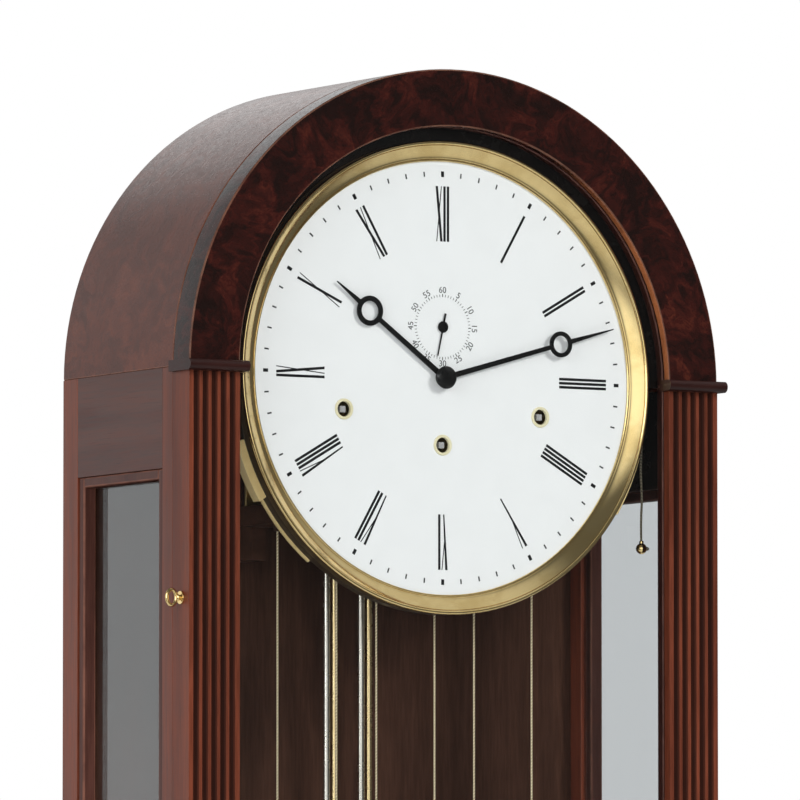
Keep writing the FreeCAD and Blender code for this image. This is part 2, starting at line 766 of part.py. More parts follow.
def make_hands():
    hour_reach = f"({bezel_inner} - hour_gap)"
    hour = ring_hand("hour", "hour_lift", hour_reach, f"({hour_reach} - hour_tip)", "hour_ring",
                     "hour_ring_bore", "hour_stem", "minute_arbor + pipe_gap")
    work_back = f"({plate_front} - {dial_face} - motion_gap)"
    work_start = ("0", work_back, "0")
    pipe_length = f"{work_back} + hour_lift"
    pipe = carve("hour_pipe_tube", rod("hour_pipe_outside", "hour_pipe", pipe_length, work_start, FRONT),
                 rod("hour_pipe_inside", "minute_arbor + pipe_gap", pipe_length, work_start, FRONT))
    wheel = carve("hour_wheel_disc", rod("hour_wheel_outside", "hour_wheel", "train_wheel", work_start, FRONT),
                  rod("hour_wheel_inside", "hour_pipe", "train_wheel", work_start, FRONT))
    part(set_clock(fuse("hour_hand", [hour, pipe, wheel]), "0", "hour_angle"))
    minute_reach = f"({bezel_inner} - minute_gap)"
    minute = ring_hand("minute", "minute_lift", minute_reach, f"({minute_reach} - minute_tip)",
                       "minute_ring", "minute_ring_bore", "minute_stem", "minute_arbor")
    arbor_back = f"({plate_back} - {dial_face} + arbor_end)"
    arbor = rod("minute_arbor_rod", "minute_arbor", f"{arbor_back} + minute_lift + hand_sheet",
                ("0", arbor_back, "0"), FRONT)
    centre = rod("centre_wheel_disc", "centre_wheel", "train_wheel",
                 ("0", f"{plate_rear_inside} - {dial_face} - centre_wheel_at", "0"), FRONT)
    part(set_clock(fuse("minute_hand", [minute, arbor, centre]), "0", "minute_angle"))
    nut_start = ("0", f"{dial_face} - minute_lift - hand_sheet", "dial_height")
    part(turned("hand_nut", [
        ("0", "0"), ("nut_radius", "0"), ("nut_radius", "nut_height * nut_band"),
        ("nut_radius * nut_shoulder", "nut_height * nut_shoulder_height"),
        ("nut_radius * nut_crown", "nut_height"), ("0", "nut_height"),
    ], nut_start, FRONT))
    pointer = padded("seconds_pointer", [
        ("-seconds_width / 2", "-seconds_tail"), ("seconds_width / 2", "-seconds_tail"),
        ("seconds_width / 4", "seconds_reach"), ("-seconds_width / 4", "seconds_reach"),
    ], "seconds_sheet", ("0", "-seconds_lift", "0"))
    hub = rod("seconds_hub_disc", "seconds_hub", "seconds_sheet", ("0", "-seconds_lift", "0"), FRONT)
    part(set_clock(fuse("seconds_hand", [pointer, hub]), "seconds_rise", "seconds_angle"))
    seconds_up = "dial_height + seconds_rise"
    shaft_back = f"({plate_back} + arbor_end)"
    shaft = rod("seconds_arbor_rod", "seconds_arbor", f"{shaft_back} - {dial_face} + seconds_lift",
                ("0", shaft_back, seconds_up), FRONT)
    scape = rod("escape_wheel_disc", "escape_wheel_radius", "train_wheel",
                ("0", f"{plate_rear_inside} - escape_wheel_at", seconds_up), FRONT)
    part(fuse("escape_wheel", [shaft, scape]))


def make_movement():
    height = "plate_top + seat_drop"
    bores = [
        ("minute", "0", "dial_height", "minute_arbor"),
        ("seconds", "0", "dial_height + seconds_rise", "seconds_arbor"),
        ("anchor", "0", suspension, "suspension_pin"),
        ("hammer", "hammer_across", "dial_height + hammer_rise", "hammer_arbor"),
    ]
    bores += [(side, across, up, "arbor_radius") for side, (across, up) in TRAINS.items()]
    plates = []
    for side, face in (("front", plate_front), ("rear", plate_rear_inside)):
        field = box(f"plate_{side}_field", ("-plate_half_width", face, seat_top),
                    ("2 * plate_half_width", "plate_thickness", height))
        ear = box(f"plate_{side}_ear", ("hammer_across - hammer_ear", face, "dial_height + plate_top"),
                  ("2 * hammer_ear", "plate_thickness", "hammer_rise - plate_top + hammer_ear"))
        holes = [rod(f"plate_{side}_bore_{label}", f"{radius} + running_gap", "plate_thickness",
                     (across, face, up), BACK) for label, across, up, radius in bores]
        plates.append(carve(f"plate_{side}", fuse(f"plate_{side}_blank", [field, ear]), *holes))
    part(group("movement_plates", plates))
    posts = []
    corner = "(plate_half_width - pillar_inset)"
    for side in ("-", ""):
        for level, up in (("low", f"{seat_top} + pillar_inset"),
                          ("high", "dial_height + plate_top - pillar_inset")):
            posts.append(rod(f"pillar_{level}_{'left' if side else 'right'}", "pillar_radius", "plate_space",
                             (f"{side}{corner}", plate_inside, up), BACK))
        for level, sign in (("low", "-"), ("high", "+")):
            posts.append(rod(f"dial_post_{level}_{'left' if side else 'right'}", "dial_post",
                             f"{plate_front} - {dial_rear}",
                             (f"{side}dial_post_across", dial_rear, f"dial_height {sign} dial_post_up"), BACK))
    posts.append(rod("lever_stud", "lever_pin", "lever_space + lever_thickness",
                     ("lever_pivot", plate_front, "dial_height - lever_drop"), FRONT))
    part(group("movement_pillars", posts))
    board_front = f"({plate_front} - seat_front_edge)"
    board_back = f"({plate_back} + seat_back_edge)"
    board = box("seat_plank", ("-seat_half_width", board_front, seat_under),
                ("2 * seat_half_width", f"{board_back} - {board_front}", "seat_thickness"))
    holes = []
    hooks = []
    for side, (across, up) in TRAINS.items():
        holes.append(rod(f"cable_hole_{side}", "cable_hole", "seat_thickness",
                         (f"{across} + cable_line", cable_plane, seat_under)))
        hooks.append(rod(f"cable_hook_{side}", "cable_hole", "cable_hook",
                         (f"{across} - cable_line", cable_plane, f"{seat_under} - cable_hook")))
    brackets = both_sides("seat_bracket", "bracket_across + bracket_width", "bracket_across",
                          (board_back, f"{seat_top} - bracket_height"),
                          f"{back} - back_board - {board_back}", "bracket_height")
    part(group("seat_board", [carve("seat_plank_bored", board, *holes)] + hooks + brackets))


def make_going_parts():
    groove = "(cable_line - cable_radius - cable_gap)"
    wheel_face = "(wheel_gap + wheel_thickness)"
    drum_end = "(plate_space - barrel_gap)"
    arbor_tip = f"({plate_rear_inside} - {dial_face} - arbor_recess)"
    axle_up = "(dial_height - weight_drop)"
    weight_top = f"({axle_up} - pulley_rim - stirrup_clearance - stirrup_base)"
    cheek = "(pulley_half_width + stirrup_gap)"
    for side, (across, up) in TRAINS.items():
        part(turned(f"barrel_{side}", [
            ("0", "-plate_thickness - arbor_end"), ("arbor_radius", "-plate_thickness - arbor_end"),
            ("arbor_radius", "wheel_gap"), ("great_wheel", "wheel_gap"), ("great_wheel", wheel_face),
            (groove, wheel_face), (groove, f"{drum_end} - barrel_flange_width"),
            ("barrel_flange", f"{drum_end} - barrel_flange_width"), ("barrel_flange", drum_end),
            ("arbor_radius", drum_end), ("arbor_radius", arbor_tip), ("0", arbor_tip),
        ], (across, plate_rear_inside, up), FRONT))
        part(turned(f"pulley_{side}", [
            ("pulley_pin + running_gap", "-pulley_half_width"), ("pulley_rim", "-pulley_half_width"),
            ("pulley_rim", "-pulley_half_width + pulley_lip"), (groove, "-groove_half_width"),
            (groove, "groove_half_width"), ("pulley_rim", "pulley_half_width - pulley_lip"),
            ("pulley_rim", "pulley_half_width"), ("pulley_pin + running_gap", "pulley_half_width"),
        ], (across, cable_plane, axle_up), FRONT))
        shell = turned(f"weight_{side}_body", [
            ("0", "0"), ("weight_radius - weight_cap", "0"), ("weight_radius", "weight_cap"),
            ("weight_radius", "weight_length - weight_cap"), ("weight_radius - weight_cap", "weight_length"),
            ("0", "weight_length"),
        ], (across, cable_plane, f"{weight_top} - weight_length"))
        half_depth = f"({cheek} + stirrup_plate)"
        yoke = box(f"stirrup_{side}_base", (f"{across} - stirrup_half_width", f"{cable_plane} - {half_depth}",
                                            weight_top),
                   ("2 * stirrup_half_width", f"2 * {half_depth}", "stirrup_base"))
        cheeks = [box(f"stirrup_{side}_{face}", (f"{across} - stirrup_half_width", start, weight_top),
                      ("2 * stirrup_half_width", "stirrup_plate",
                       f"{axle_up} - {weight_top} + stirrup_half_width"))
                  for face, start in (("front", f"{cable_plane} - {half_depth}"),
                                      ("rear", f"{cable_plane} + {cheek}"))]
        pin = rod(f"stirrup_{side}_pin", "pulley_pin", f"2 * {half_depth}",
                  (across, f"{cable_plane} + {half_depth}", axle_up), FRONT)
        part(fuse(f"weight_{side}", [shell, yoke, pin] + cheeks))
        hook_end = f"({seat_under} - cable_hook)"
        fixed_line = rod(f"cable_{side}_fixed", "cable_radius", f"{hook_end} - {axle_up}",
                         (f"{across} - cable_line", cable_plane, axle_up))
        drawn_line = rod(f"cable_{side}_drawn", "cable_radius", f"{up} - {axle_up}",
                         (f"{across} + cable_line", cable_plane, axle_up))
        under = ring_wire(f"cable_{side}_under", "cable_line", "cable_radius", (across, cable_plane, axle_up),
                          BACK, HALF_TURN)
        over = ring_wire(f"cable_{side}_over", "cable_line", "cable_radius", (across, cable_plane, up),
                         FRONT, HALF_TURN)
        part(fuse(f"cable_{side}", [fixed_line, under, drawn_line, over]))


def make_pendulum():
    plane = pendulum_plane
    block_low = f"({suspension} - suspension_block)"
    spring_low = f"({block_low} - spring_length)"
    chop_low = f"({spring_low} - 2 * chop_depth)"
    block = box("spring_block", ("-suspension_block", f"{plane} - chop_depth", block_low),
                ("2 * suspension_block", "2 * chop_depth", "2 * suspension_block"))
    eye = rod("spring_eye", "suspension_pin + running_gap", "2 * chop_depth",
              ("0", f"{plane} - chop_depth", suspension), BACK)
    strip = box("spring_strip", ("-spring_half_width", f"{plane} - spring_thickness / 2", spring_low),
                ("2 * spring_half_width", "spring_thickness", "spring_length"))
    chop = box("spring_chop", ("-suspension_block", f"{plane} - chop_depth", chop_low),
               ("2 * suspension_block", "2 * chop_depth", "2 * chop_depth"))
    part(carve("suspension_spring", fuse("spring_blank", [block, strip, chop]), eye))
    bar_half = "(rod_group + rod_pitch / 2 + rod_radius + bar_end)"
    top_bar = f"({suspension} - top_bar_drop - bar_height)"
    bob_up = f"({suspension} - pendulum_length)"
    low_bar = f"({bob_up} + bob_radius + bar_above_bob)"
    bar_size = (f"2 * {bar_half}", "2 * bar_half_depth", "bar_height")
    hanger_low = f"({suspension} - top_bar_drop)"
    hanger = box("pendulum_hanger", ("-spring_half_width", f"{plane} - chop_depth / 2", hanger_low),
                 ("2 * spring_half_width", "chop_depth", f"{chop_low} - {hanger_low}"))
    bars = [box("top_bar", (f"-{bar_half}", f"{plane} - bar_half_depth", top_bar), bar_size),
            box("low_bar", (f"-{bar_half}", f"{plane} - bar_half_depth", low_bar), bar_size)]
    nut_top = f"({bob_up} - bob_radius - nut_clearance)"
    stem_low = f"({nut_top} - stem_tail)"
    stem = rod("pendulum_stem", "stem_radius", f"{low_bar} - {stem_low}", ("0", plane, stem_low))
    part(group("pendulum_crossbars", [hanger, stem] + bars))
    rod_low = f"({low_bar} + bar_height)"
    for metal, shift in (("steel", "-"), ("brass", "+")):
        rods = [rod(f"{metal}_rod_{side}", "rod_radius", f"{top_bar} - {rod_low}",
                    (f"{sign}rod_group {shift} rod_pitch / 2", plane, rod_low))
                for side, sign in (("left", "-"), ("right", ""))]
        part(group(f"pendulum_{metal}_rods", rods))
    lens_radius = "((bob_radius ^ 2 + (bob_thickness / 2) ^ 2) / bob_thickness)"
    offset = f"({lens_radius} - bob_thickness / 2)"
    faces = [solid("Part::Sphere", f"bob_face_{side}", ("0", f"{plane} {sign} {offset}", bob_up),
                   Radius=lens_radius) for side, sign in (("front", "+"), ("rear", "-"))]
    lens = doc.addObject("Part::Common", "bob_lens")
    lens.Base, lens.Tool = faces
    part(carve("pendulum_bob", lens, rod("bob_bore", "stem_radius", "2 * bob_radius",
                                         ("0", plane, f"{bob_up} - bob_radius"))))
    part(turned("rating_nut", [
        ("stem_radius + running_gap", "0"), ("rating_nut_radius - nut_chamfer", "0"),
        ("rating_nut_radius", "nut_chamfer"), ("rating_nut_radius", "rating_nut_height - nut_chamfer"),
        ("rating_nut_radius - nut_chamfer", "rating_nut_height"),
        ("stem_radius + running_gap", "rating_nut_height"),
    ], ("0", plane, f"{nut_top} - rating_nut_height")))
    legs = both_sides("cock_leg_piece", "cock_gap + cock_leg", "cock_gap", (plate_back, block_low),
                      "cock_length", "2 * suspension_block")
    bridge = box("cock_bridge", ("-cock_gap - cock_leg", f"{plate_back} + cock_length", block_low),
                 ("2 * (cock_gap + cock_leg)", "cock_leg", "2 * suspension_block"))
    pin = rod("cock_pin", "suspension_pin", "cock_pin_length",
              ("0", f"{plate_back} + cock_length + cock_leg", suspension), BACK)
    part(fuse("suspension_cock", legs + [bridge, pin]))
    anchor_plane = f"({plate_rear_inside} - escape_wheel_at - 1.5 * train_wheel)"
    arbor = rod("anchor_arbor", "suspension_pin", f"{plate_back} - {plate_front} + cock_length / 2",
                ("0", plate_front, suspension), BACK)
    beam = box("anchor_beam", ("-anchor_half", anchor_plane, f"{suspension} - anchor_bar / 2"),
               ("2 * anchor_half", "2 * train_wheel", "anchor_bar"))
    pallets = both_sides("pallet", "anchor_half", "anchor_half - pallet_width",
                         (anchor_plane, f"{suspension} - pallet_drop"), "2 * train_wheel", "pallet_drop")
    crutch_plane = f"({plate_back} + cock_length / 4)"
    crutch = box("crutch_arm", ("-crutch_width / 2", crutch_plane, f"{suspension} - crutch_drop"),
                 ("crutch_width", "train_wheel", "crutch_drop + crutch_width / 2"))
    finger = box("crutch_finger", ("-crutch_width / 2", crutch_plane, f"{suspension} - crutch_drop"),
                 ("crutch_width", f"{plane} - bar_half_depth - {crutch_plane}", "crutch_width / 2"))
    part(fuse("anchor_and_crutch", [arbor, beam, crutch, finger] + pallets))


def make_chime():
    middle = f"(({plate_front} + {plate_back}) / 2)"
    bar_low = "(dial_height + plate_top)"
    bar = box("bell_bar_piece", ("-bell_bar", plate_front, bar_low),
              ("2 * bell_bar", f"{plate_back} - {plate_front}", "bell_bar"))
    bells = []
    mouth = "(dial_height + plate_top + bell_lift)"
    heads = []
    arbor_up = "(dial_height + hammer_rise)"
    for index in range(BELLS):
        radius = f"({inner} * bell_share - {index} * bell_step)"
        waist, waist_up = f"{radius} * bell_waist", f"{radius} * bell_waist_height"
        shoulder, shoulder_up = f"{radius} * bell_shoulder", f"{radius} * bell_shoulder_height"
        crown_up = f"{radius} * bell_height"
        bells.append(turned(f"bell_{index}", [
            (radius, "0"), (waist, waist_up), (shoulder, shoulder_up),
            ("bell_rod", crown_up), ("bell_rod", f"{crown_up} - bell_wall"),
            (f"{shoulder} - bell_wall / 4", f"{shoulder_up} - bell_wall"),
            (f"{waist} - bell_wall", f"{waist_up} - bell_wall / 2"), (f"{radius} - bell_wall", "0"),
        ], ("0", middle, mouth)))
        row = f"{middle} + {index - (BELLS - 1) / 2} * hammer_pitch"
        strike = f"({mouth} + hammer_head + strike_lift)"
        arm_start = ("hammer_across - hammer_arm / 2", f"{row} - hammer_arm / 2", arbor_up)
        arm = box(f"hammer_arm_{index}", arm_start, ("hammer_arm", "hammer_arm", f"{strike} - {arbor_up}"))
        head_start = f"({radius} + hammer_gap)"
        head = rod(f"hammer_head_{index}", "hammer_head", f"hammer_across + hammer_arm - {head_start}",
                   (head_start, row, strike), RIGHT)
        heads += [arm, head]
        mouth = f"({mouth} + {crown_up} + bell_space)"
    stand = rod("bell_stand_rod", "bell_rod", f"{mouth} - {bar_low} - bell_bar",
                ("0", middle, f"{bar_low} + bell_bar"))
    part(group("chime_bells", [bar, stand] + bells))
    arbor = rod("hammer_arbor_rod", "hammer_arbor", f"{plate_back} - {plate_front} + 2 * arbor_end",
                ("hammer_across", f"{plate_front} - arbor_end", arbor_up), BACK)
    part(fuse("chime_hammers", [arbor] + heads))


def make_repeat():
    lever_up = "(dial_height - lever_drop)"
    lever_front = f"({plate_front} - lever_space - lever_thickness)"
    cord_across = f"({inner} - cord_inset)"
    lever_length = f"{cord_across} - lever_pivot + lever_tail + lever_height / 2"
    blank = box("lever_blank", ("lever_pivot - lever_tail", lever_front, f"{lever_up} - lever_height / 2"),
                (lever_length, "lever_thickness", "lever_height"))
    hole = rod("lever_hole", "lever_pin + running_gap", "lever_thickness",
               ("lever_pivot", lever_front, lever_up), BACK)
    part(carve("repeat_lever", blank, hole))
    cord_plane = f"({lever_front} + lever_thickness / 2)"
    ball_up = "(dial_height - ball_drop)"
    cord_top = f"({lever_up} - lever_height / 2 - cord_gap)"
    part(rod("repeat_cord", "cord_radius", f"{cord_top} - {ball_up}", (cord_across, cord_plane, ball_up)))
    ball = solid("Part::Sphere", "ball_blank", (cord_across, cord_plane, ball_up), Radius="ball_radius")
    socket = rod("ball_socket", "cord_radius", "ball_radius", (cord_across, cord_plane, ball_up))
    part(carve("repeat_ball", ball, socket))


make_base()
make_trunk()
make_hinges()
make_door()
make_lock()
make_dial()
make_hands()
make_movement()
make_going_parts()
make_pendulum()
make_chime()
make_repeat()
doc.recompute()

# Every object has to be sound before any file is written
broken = [item.Label for item in doc.Objects if "Invalid" in item.State or "Error" in item.State]
broken += [item.Label for item in sub_parts if item.Shape.isNull() or not item.Shape.isValid()]
if broken:
    raise RuntimeError("unsound objects: " + ", ".join(broken))

os.makedirs("parts", exist_ok=True)
for item in sub_parts:
    item.Shape.exportStep(os.path.join("parts", item.Label + ".step"))
    print(f"{item.Label}: {len(item.Shape.Solids)} solids, {item.Shape.Volume / 1000:.2f} cm3")
print(f"{len(sub_parts)} sub-parts written")
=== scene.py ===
import bmesh
import bpy
import json
from math import atan2, cos, degrees, hypot, pi, radians, sin, sqrt
from mathutils import Matrix, Vector

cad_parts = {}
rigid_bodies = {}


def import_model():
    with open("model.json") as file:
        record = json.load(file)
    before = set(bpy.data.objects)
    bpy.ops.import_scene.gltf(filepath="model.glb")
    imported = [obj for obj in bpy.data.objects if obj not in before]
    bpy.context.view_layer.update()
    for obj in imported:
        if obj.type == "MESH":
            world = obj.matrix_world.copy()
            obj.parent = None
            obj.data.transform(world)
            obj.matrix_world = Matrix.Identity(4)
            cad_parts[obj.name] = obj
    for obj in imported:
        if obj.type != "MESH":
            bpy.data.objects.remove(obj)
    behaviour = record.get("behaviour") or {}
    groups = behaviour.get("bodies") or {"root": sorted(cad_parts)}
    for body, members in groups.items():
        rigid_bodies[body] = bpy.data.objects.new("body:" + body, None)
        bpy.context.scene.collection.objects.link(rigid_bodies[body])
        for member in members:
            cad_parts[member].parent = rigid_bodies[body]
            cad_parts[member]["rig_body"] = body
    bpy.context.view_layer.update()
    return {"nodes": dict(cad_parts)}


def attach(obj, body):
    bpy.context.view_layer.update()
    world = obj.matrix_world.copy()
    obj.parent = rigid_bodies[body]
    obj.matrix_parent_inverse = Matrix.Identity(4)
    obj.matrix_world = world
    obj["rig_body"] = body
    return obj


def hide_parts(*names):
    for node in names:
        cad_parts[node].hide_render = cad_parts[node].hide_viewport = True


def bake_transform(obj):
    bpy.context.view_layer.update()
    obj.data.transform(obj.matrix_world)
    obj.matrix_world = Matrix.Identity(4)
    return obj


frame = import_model()
cadNodes = frame["nodes"]
mm = 0.001
dialSpot = (0, -55, 1745)  # middle of the dial's face, mm
doorFront = -77.5  # front of the pilasters, mm
print("frame loaded:", len(cadNodes), "nodes")


def metres(*spot):
    return Vector([number * mm for number in spot])


def newObject(name, data):
    made = bpy.data.objects.new(name, data)
    bpy.context.scene.collection.objects.link(made)
    return made


dialCentre = metres(*dialSpot)


# shader helpers

finishes = {}


def feed(tree, inputs, values):
    # a value that comes from a node is linked, any other is set, and a colour is opaque
    for name, value in values.items():
        if isinstance(value, bpy.types.NodeSocket):
            tree.links.new(value, inputs[name])
        else:
            inputs[name].default_value = (*value, 1) if inputs[name].type == "RGBA" else value


def put(tree, kind, inputs=None, **settings):
    node = tree.nodes.new("ShaderNode" + kind)
    for name, value in settings.items():
        setattr(node, name, value)
    feed(tree, node.inputs, inputs or {})
    return node.outputs


def maths(tree, operation, first, second=0):
    return put(tree, "Math", {0: first, 1: second}, operation=operation)[0]


def vectors(tree, operation, first, second=(0, 0, 0)):
    return put(tree, "VectorMath", {0: first, 1: second}, operation=operation)


def mixed(tree, factor, first, second, blend="MIX"):
    sockets = {0: factor, 6: first, 7: second}
    return put(tree, "Mix", sockets, data_type="RGBA", blend_type=blend)[2]


def remap(tree, value, fromLow, fromHigh, toLow=0, toHigh=1):
    sockets = {0: value, 1: fromLow, 2: fromHigh, 3: toLow, 4: toHigh}
    return put(tree, "MapRange", sockets, interpolation_type="SMOOTHSTEP")[0]


def noise(tree, vector, scale, detail=4, rough=0.55, warp=0):
    return put(tree, "TexNoise", {"Vector": vector, "Scale": scale, "Detail": detail,
                                  "Roughness": rough, "Distortion": warp})


def waves(tree, inputs):
    return put(tree, "TexWave", inputs, wave_type="BANDS", bands_direction="DIAGONAL")[0]


def bumped(tree, height, strength, depth):
    return put(tree, "Bump", {"Height": height, "Strength": strength, "Distance": depth})[0]


def crossed(tree, factor, first, second):
    return put(tree, "MixShader", {0: factor, 1: first, 2: second})[0]


def surface(tree, shader, colour, rough, *relief):
    feed(tree, shader, {"Base Color": colour, "Roughness": rough, "Normal": bumped(tree, *relief)})


def newGroup(name, inputs, outputs):
    tree = bpy.data.node_groups.new(name, "ShaderNodeTree")
    for side, sockets in (("INPUT", inputs), ("OUTPUT", outputs)):
        for label, kind in sockets.items():
            tree.interface.new_socket(label, in_out=side, socket_type="NodeSocket" + kind)
    return tree, tree.nodes.new("NodeGroupInput").outputs, tree.nodes.new("NodeGroupOutput").inputs


def placed(tree, group, inputs):
    return put(tree, "Group", inputs, node_tree=group)


def newMaterial(name, **sockets):
    material = bpy.data.materials.new(name)
    material.use_nodes = True
    finishes[name] = material
    tree = material.node_tree
    shader = tree.nodes["Principled BSDF"].inputs
    feed(tree, shader, {label.replace("_", " "): value for label, value in sockets.items()})
    return tree, shader, put(tree, "TexCoord")["Object"]


def cleared(tree, factor, colour):
    # the surface gives way to a clear one by the factor
    clear = put(tree, "BsdfTransparent", {"Color": colour})[0]
    joined = crossed(tree, factor, tree.nodes["Principled BSDF"].outputs[0], clear)
    tree.links.new(joined, tree.nodes["Material Output"].inputs["Surface"])


# camera at the photograph's angle: left of the front and a little below the dial

cameraSettings = {
    "azimuth": -30.8, "elevation": -4.15, "distance": 8, "lens": 471, "sensor": 36, "farClip": 200,
    "aim": (-27, -37.5, 1728.2),
}


def makeCamera(azimuth, elevation, distance, lens, sensor, farClip, aim):
    data = bpy.data.cameras.new("photoCamera")
    data.lens = lens
    data.sensor_width = sensor
    data.clip_end = farClip
    turn, lift = radians(azimuth), radians(elevation)
    back = Vector((sin(turn) * cos(lift), -cos(turn) * cos(lift), sin(lift)))
    camera = newObject("photoCamera", data)
    camera.location = metres(*aim) + back * distance
    camera.rotation_euler = (-back).to_track_quat("-Z", "Y").to_euler()
    bpy.context.scene.camera = camera


makeCamera(**cameraSettings)
bpy.context.scene.view_settings.view_transform = "Standard"
print("camera set")


# world, floor and lamps

white = (1, 1, 1)
worldSettings = {
    "fillLevel": 0.32,  # soft light from all round
    "darkLevel": 0.14,  # what polished surfaces mirror between the screens
    "screens": (  # direction, where each fades in and is full, brightness
        ((-0.55, 0.83, 0.05), 0.72, 0.97, 0.96), ((-0.5, -0.86, 0.06), 0.84, 0.99, 1.5),
        ((0.51, -0.3, 0.8), 0.75, 0.97, 0.6), ((0.25, 0.85, 0.47), 0.915, 0.99, 1.5),
    ),
}
floorSettings = {
    "size": 60, "sunk": 0.4, "colour": (0.8, 0.8, 0.8), "cloudScale": 0.7, "cloudShade": 0.985,
    "fade": (1.8, 5),  # it turns clear between these distances, in metres
}
lampSettings = {  # place, aim, size, watts, colour, whether polished surfaces mirror it
    "keyLamp": ((2.6, -4.4, 4.2), (0, 0, 1.4), 1.6, 176, (1, 0.98, 0.95), False),
    "frontLamp": ((-2.6, -4.8, 1.9), (0, 0, 1.5), 2, 68, (1, 0.99, 0.97), False),
    "leftLamp": ((-4.5, -1.6, 2.6), (0, 0, 1.3), 2.4, 90, (0.98, 0.99, 1), True),
    "backLamp": ((0.8, 4.6, 3.6), (0, 0, 1.3), 2.2, 70, (1, 1, 1), False),
}


def makeWorld(fillLevel, darkLevel, screens):
    world = bpy.data.worlds.new("studioWorld")
    bpy.context.scene.world = world
    world.use_nodes = True
    tree = world.node_tree
    tree.nodes.clear()
    path = put(tree, "LightPath")
    heading = put(tree, "TexCoord")["Generated"]
    level = darkLevel
    for direction, start, full, bright in screens:
        side = vectors(tree, "DOT_PRODUCT", heading, direction)["Value"]
        level = maths(tree, "ADD", remap(tree, side, start, full, 0, bright), level)
    soft, mirrored, plain = [
        put(tree, "Background", {"Color": white, "Strength": strength})[0]
        for strength in (fillLevel, level, 1)
    ]
    joined = crossed(tree, path["Is Glossy Ray"], soft, mirrored)
    seen = maths(tree, "MAXIMUM", path["Is Camera Ray"], path["Is Transmission Ray"])
    put(tree, "OutputWorld", {"Surface": crossed(tree, seen, joined, plain)})


def makeFloor(size, sunk, colour, cloudScale, cloudShade, fade):
    half, level = size / 2, -sunk * mm
    corners = [(-half, -half, level), (half, -half, level), (half, half, level), (-half, half, level)]
    mesh = bpy.data.meshes.new("studioFloor")
    mesh.from_pydata(corners, [], [(0, 1, 2, 3)])
    tree, shader, where = newMaterial("paleFloor", Roughness=0.9)
    shade = [channel * cloudShade for channel in colour]
    feed(tree, shader, {"Base Color": mixed(tree, noise(tree, where, cloudScale)[0], shade, colour)})
    under = put(tree, "NewGeometry")["Backfacing"]  # clear from below and far away
    away = vectors(tree, "LENGTH", where)["Value"]
    cleared(tree, maths(tree, "MAXIMUM", under, remap(tree, away, *fade)), white)
    mesh.materials.append(finishes["paleFloor"])
    floor = newObject("studioFloor", mesh)


def makeLamp(name, place, aim, size, watts, colour, mirrored):
    data = bpy.data.lights.new(name, "AREA")
    data.size = size
    data.energy = watts
    data.color = colour
    lamp = newObject(name, data)
    lamp.visible_glossy = mirrored
    lamp.location = place
    lamp.rotation_euler = (Vector(aim) - Vector(place)).to_track_quat("-Z", "Y").to_euler()


makeWorld(**worldSettings)
makeFloor(**floorSettings)
for name, row in lampSettings.items():
    makeLamp(name, *row)
print("studio lit")


# shared effects as node groups: noises by scale, detail, roughness and warp, ranges from two values to two

figureOutputs = {"Color": "Color", "Rough": "Float", "Height": "Float"}
wearAndPaintedLightSettings = {
    "patch": (60, 3), "patchRange": (0.3, 0.7, 0.35),
    "fluteShadeRange": (0.3, 1, 0.97), "bezelGlowRange": (0.3, 1, 0.75),
}
woodFigureSettings = {
    "grain": (1, 1, 0.07), "ribbon": (45, 3, 0.5, 0.5), "ribbonRange": (0.3, 0.7),
    "fibre": (420, 4, 0.6, 0.2), "shadeRange": (0.3, 0.7, 0.76, 1.1),
    "roughRange": (0.3, 0.7, 0.32, 0.45),
    "poreGrain": (1, 1, 0.025), "pores": (1500, 2), "poreRange": (0.58, 0.72), "poreDepth": 0.35,
    "poreColour": (0.015, 0.004, 0.003),
}
burlFigureSettings = {
    "swirl": (22, 4, 0.6, 0.8), "swirlMiddle": (0.5, 0.5, 0.5), "swirlReach": (0.06, 0.06, 0.06),
    "blotch": (34, 7, 0.62, 1.2), "redRange": (0.36, 0.66), "emberRange": (0.52, 0.74),
    "fine": (240, 5, 0.6, 0.6), "fineRange": (0.4, 0.62), "roughRange": (0.3, 0.7, 0.24, 0.36),
    "eyes": 85, "eyeRange": (0.05, 0.24, 0.6, 0),
}
handledMetalSettings = {
    "smear": (38, 5, 0.6, 0.4), "filmRange": (0.35, 0.7),
    "speck": (900, 2), "speckRange": (0.3, 0.7, 0.7),
}


def makeHandling(s):
    # edge wear with painted highlight, painted shade in the flutes and painted warm light on the arch's inner
    # edge
    outputs = {"Rub": "Float", "FluteShade": "Float", "Warm": "Float"}
    tree, entry, leave = newGroup("handling", {"Vector": "Vector", "Amount": "Float"}, outputs)
    patch = remap(tree, noise(tree, entry["Vector"], *s["patch"])[0], *s["patchRange"])
    edge, hollow, warm = [put(tree, "Attribute", attribute_name=name)["Fac"]
                          for name in ("edge", "hollow", "warm")]
    feed(tree, leave, {
        # paler edges for wear and painted highlight, painted flute shade, painted bezel light
        "Rub": maths(tree, "MULTIPLY", maths(tree, "MULTIPLY", edge, patch), entry["Amount"]),
        "FluteShade": maths(tree, "MULTIPLY", hollow, remap(tree, patch, *s["fluteShadeRange"])),
        "Warm": maths(tree, "MULTIPLY", warm, remap(tree, patch, *s["bezelGlowRange"])),
    })
    return tree


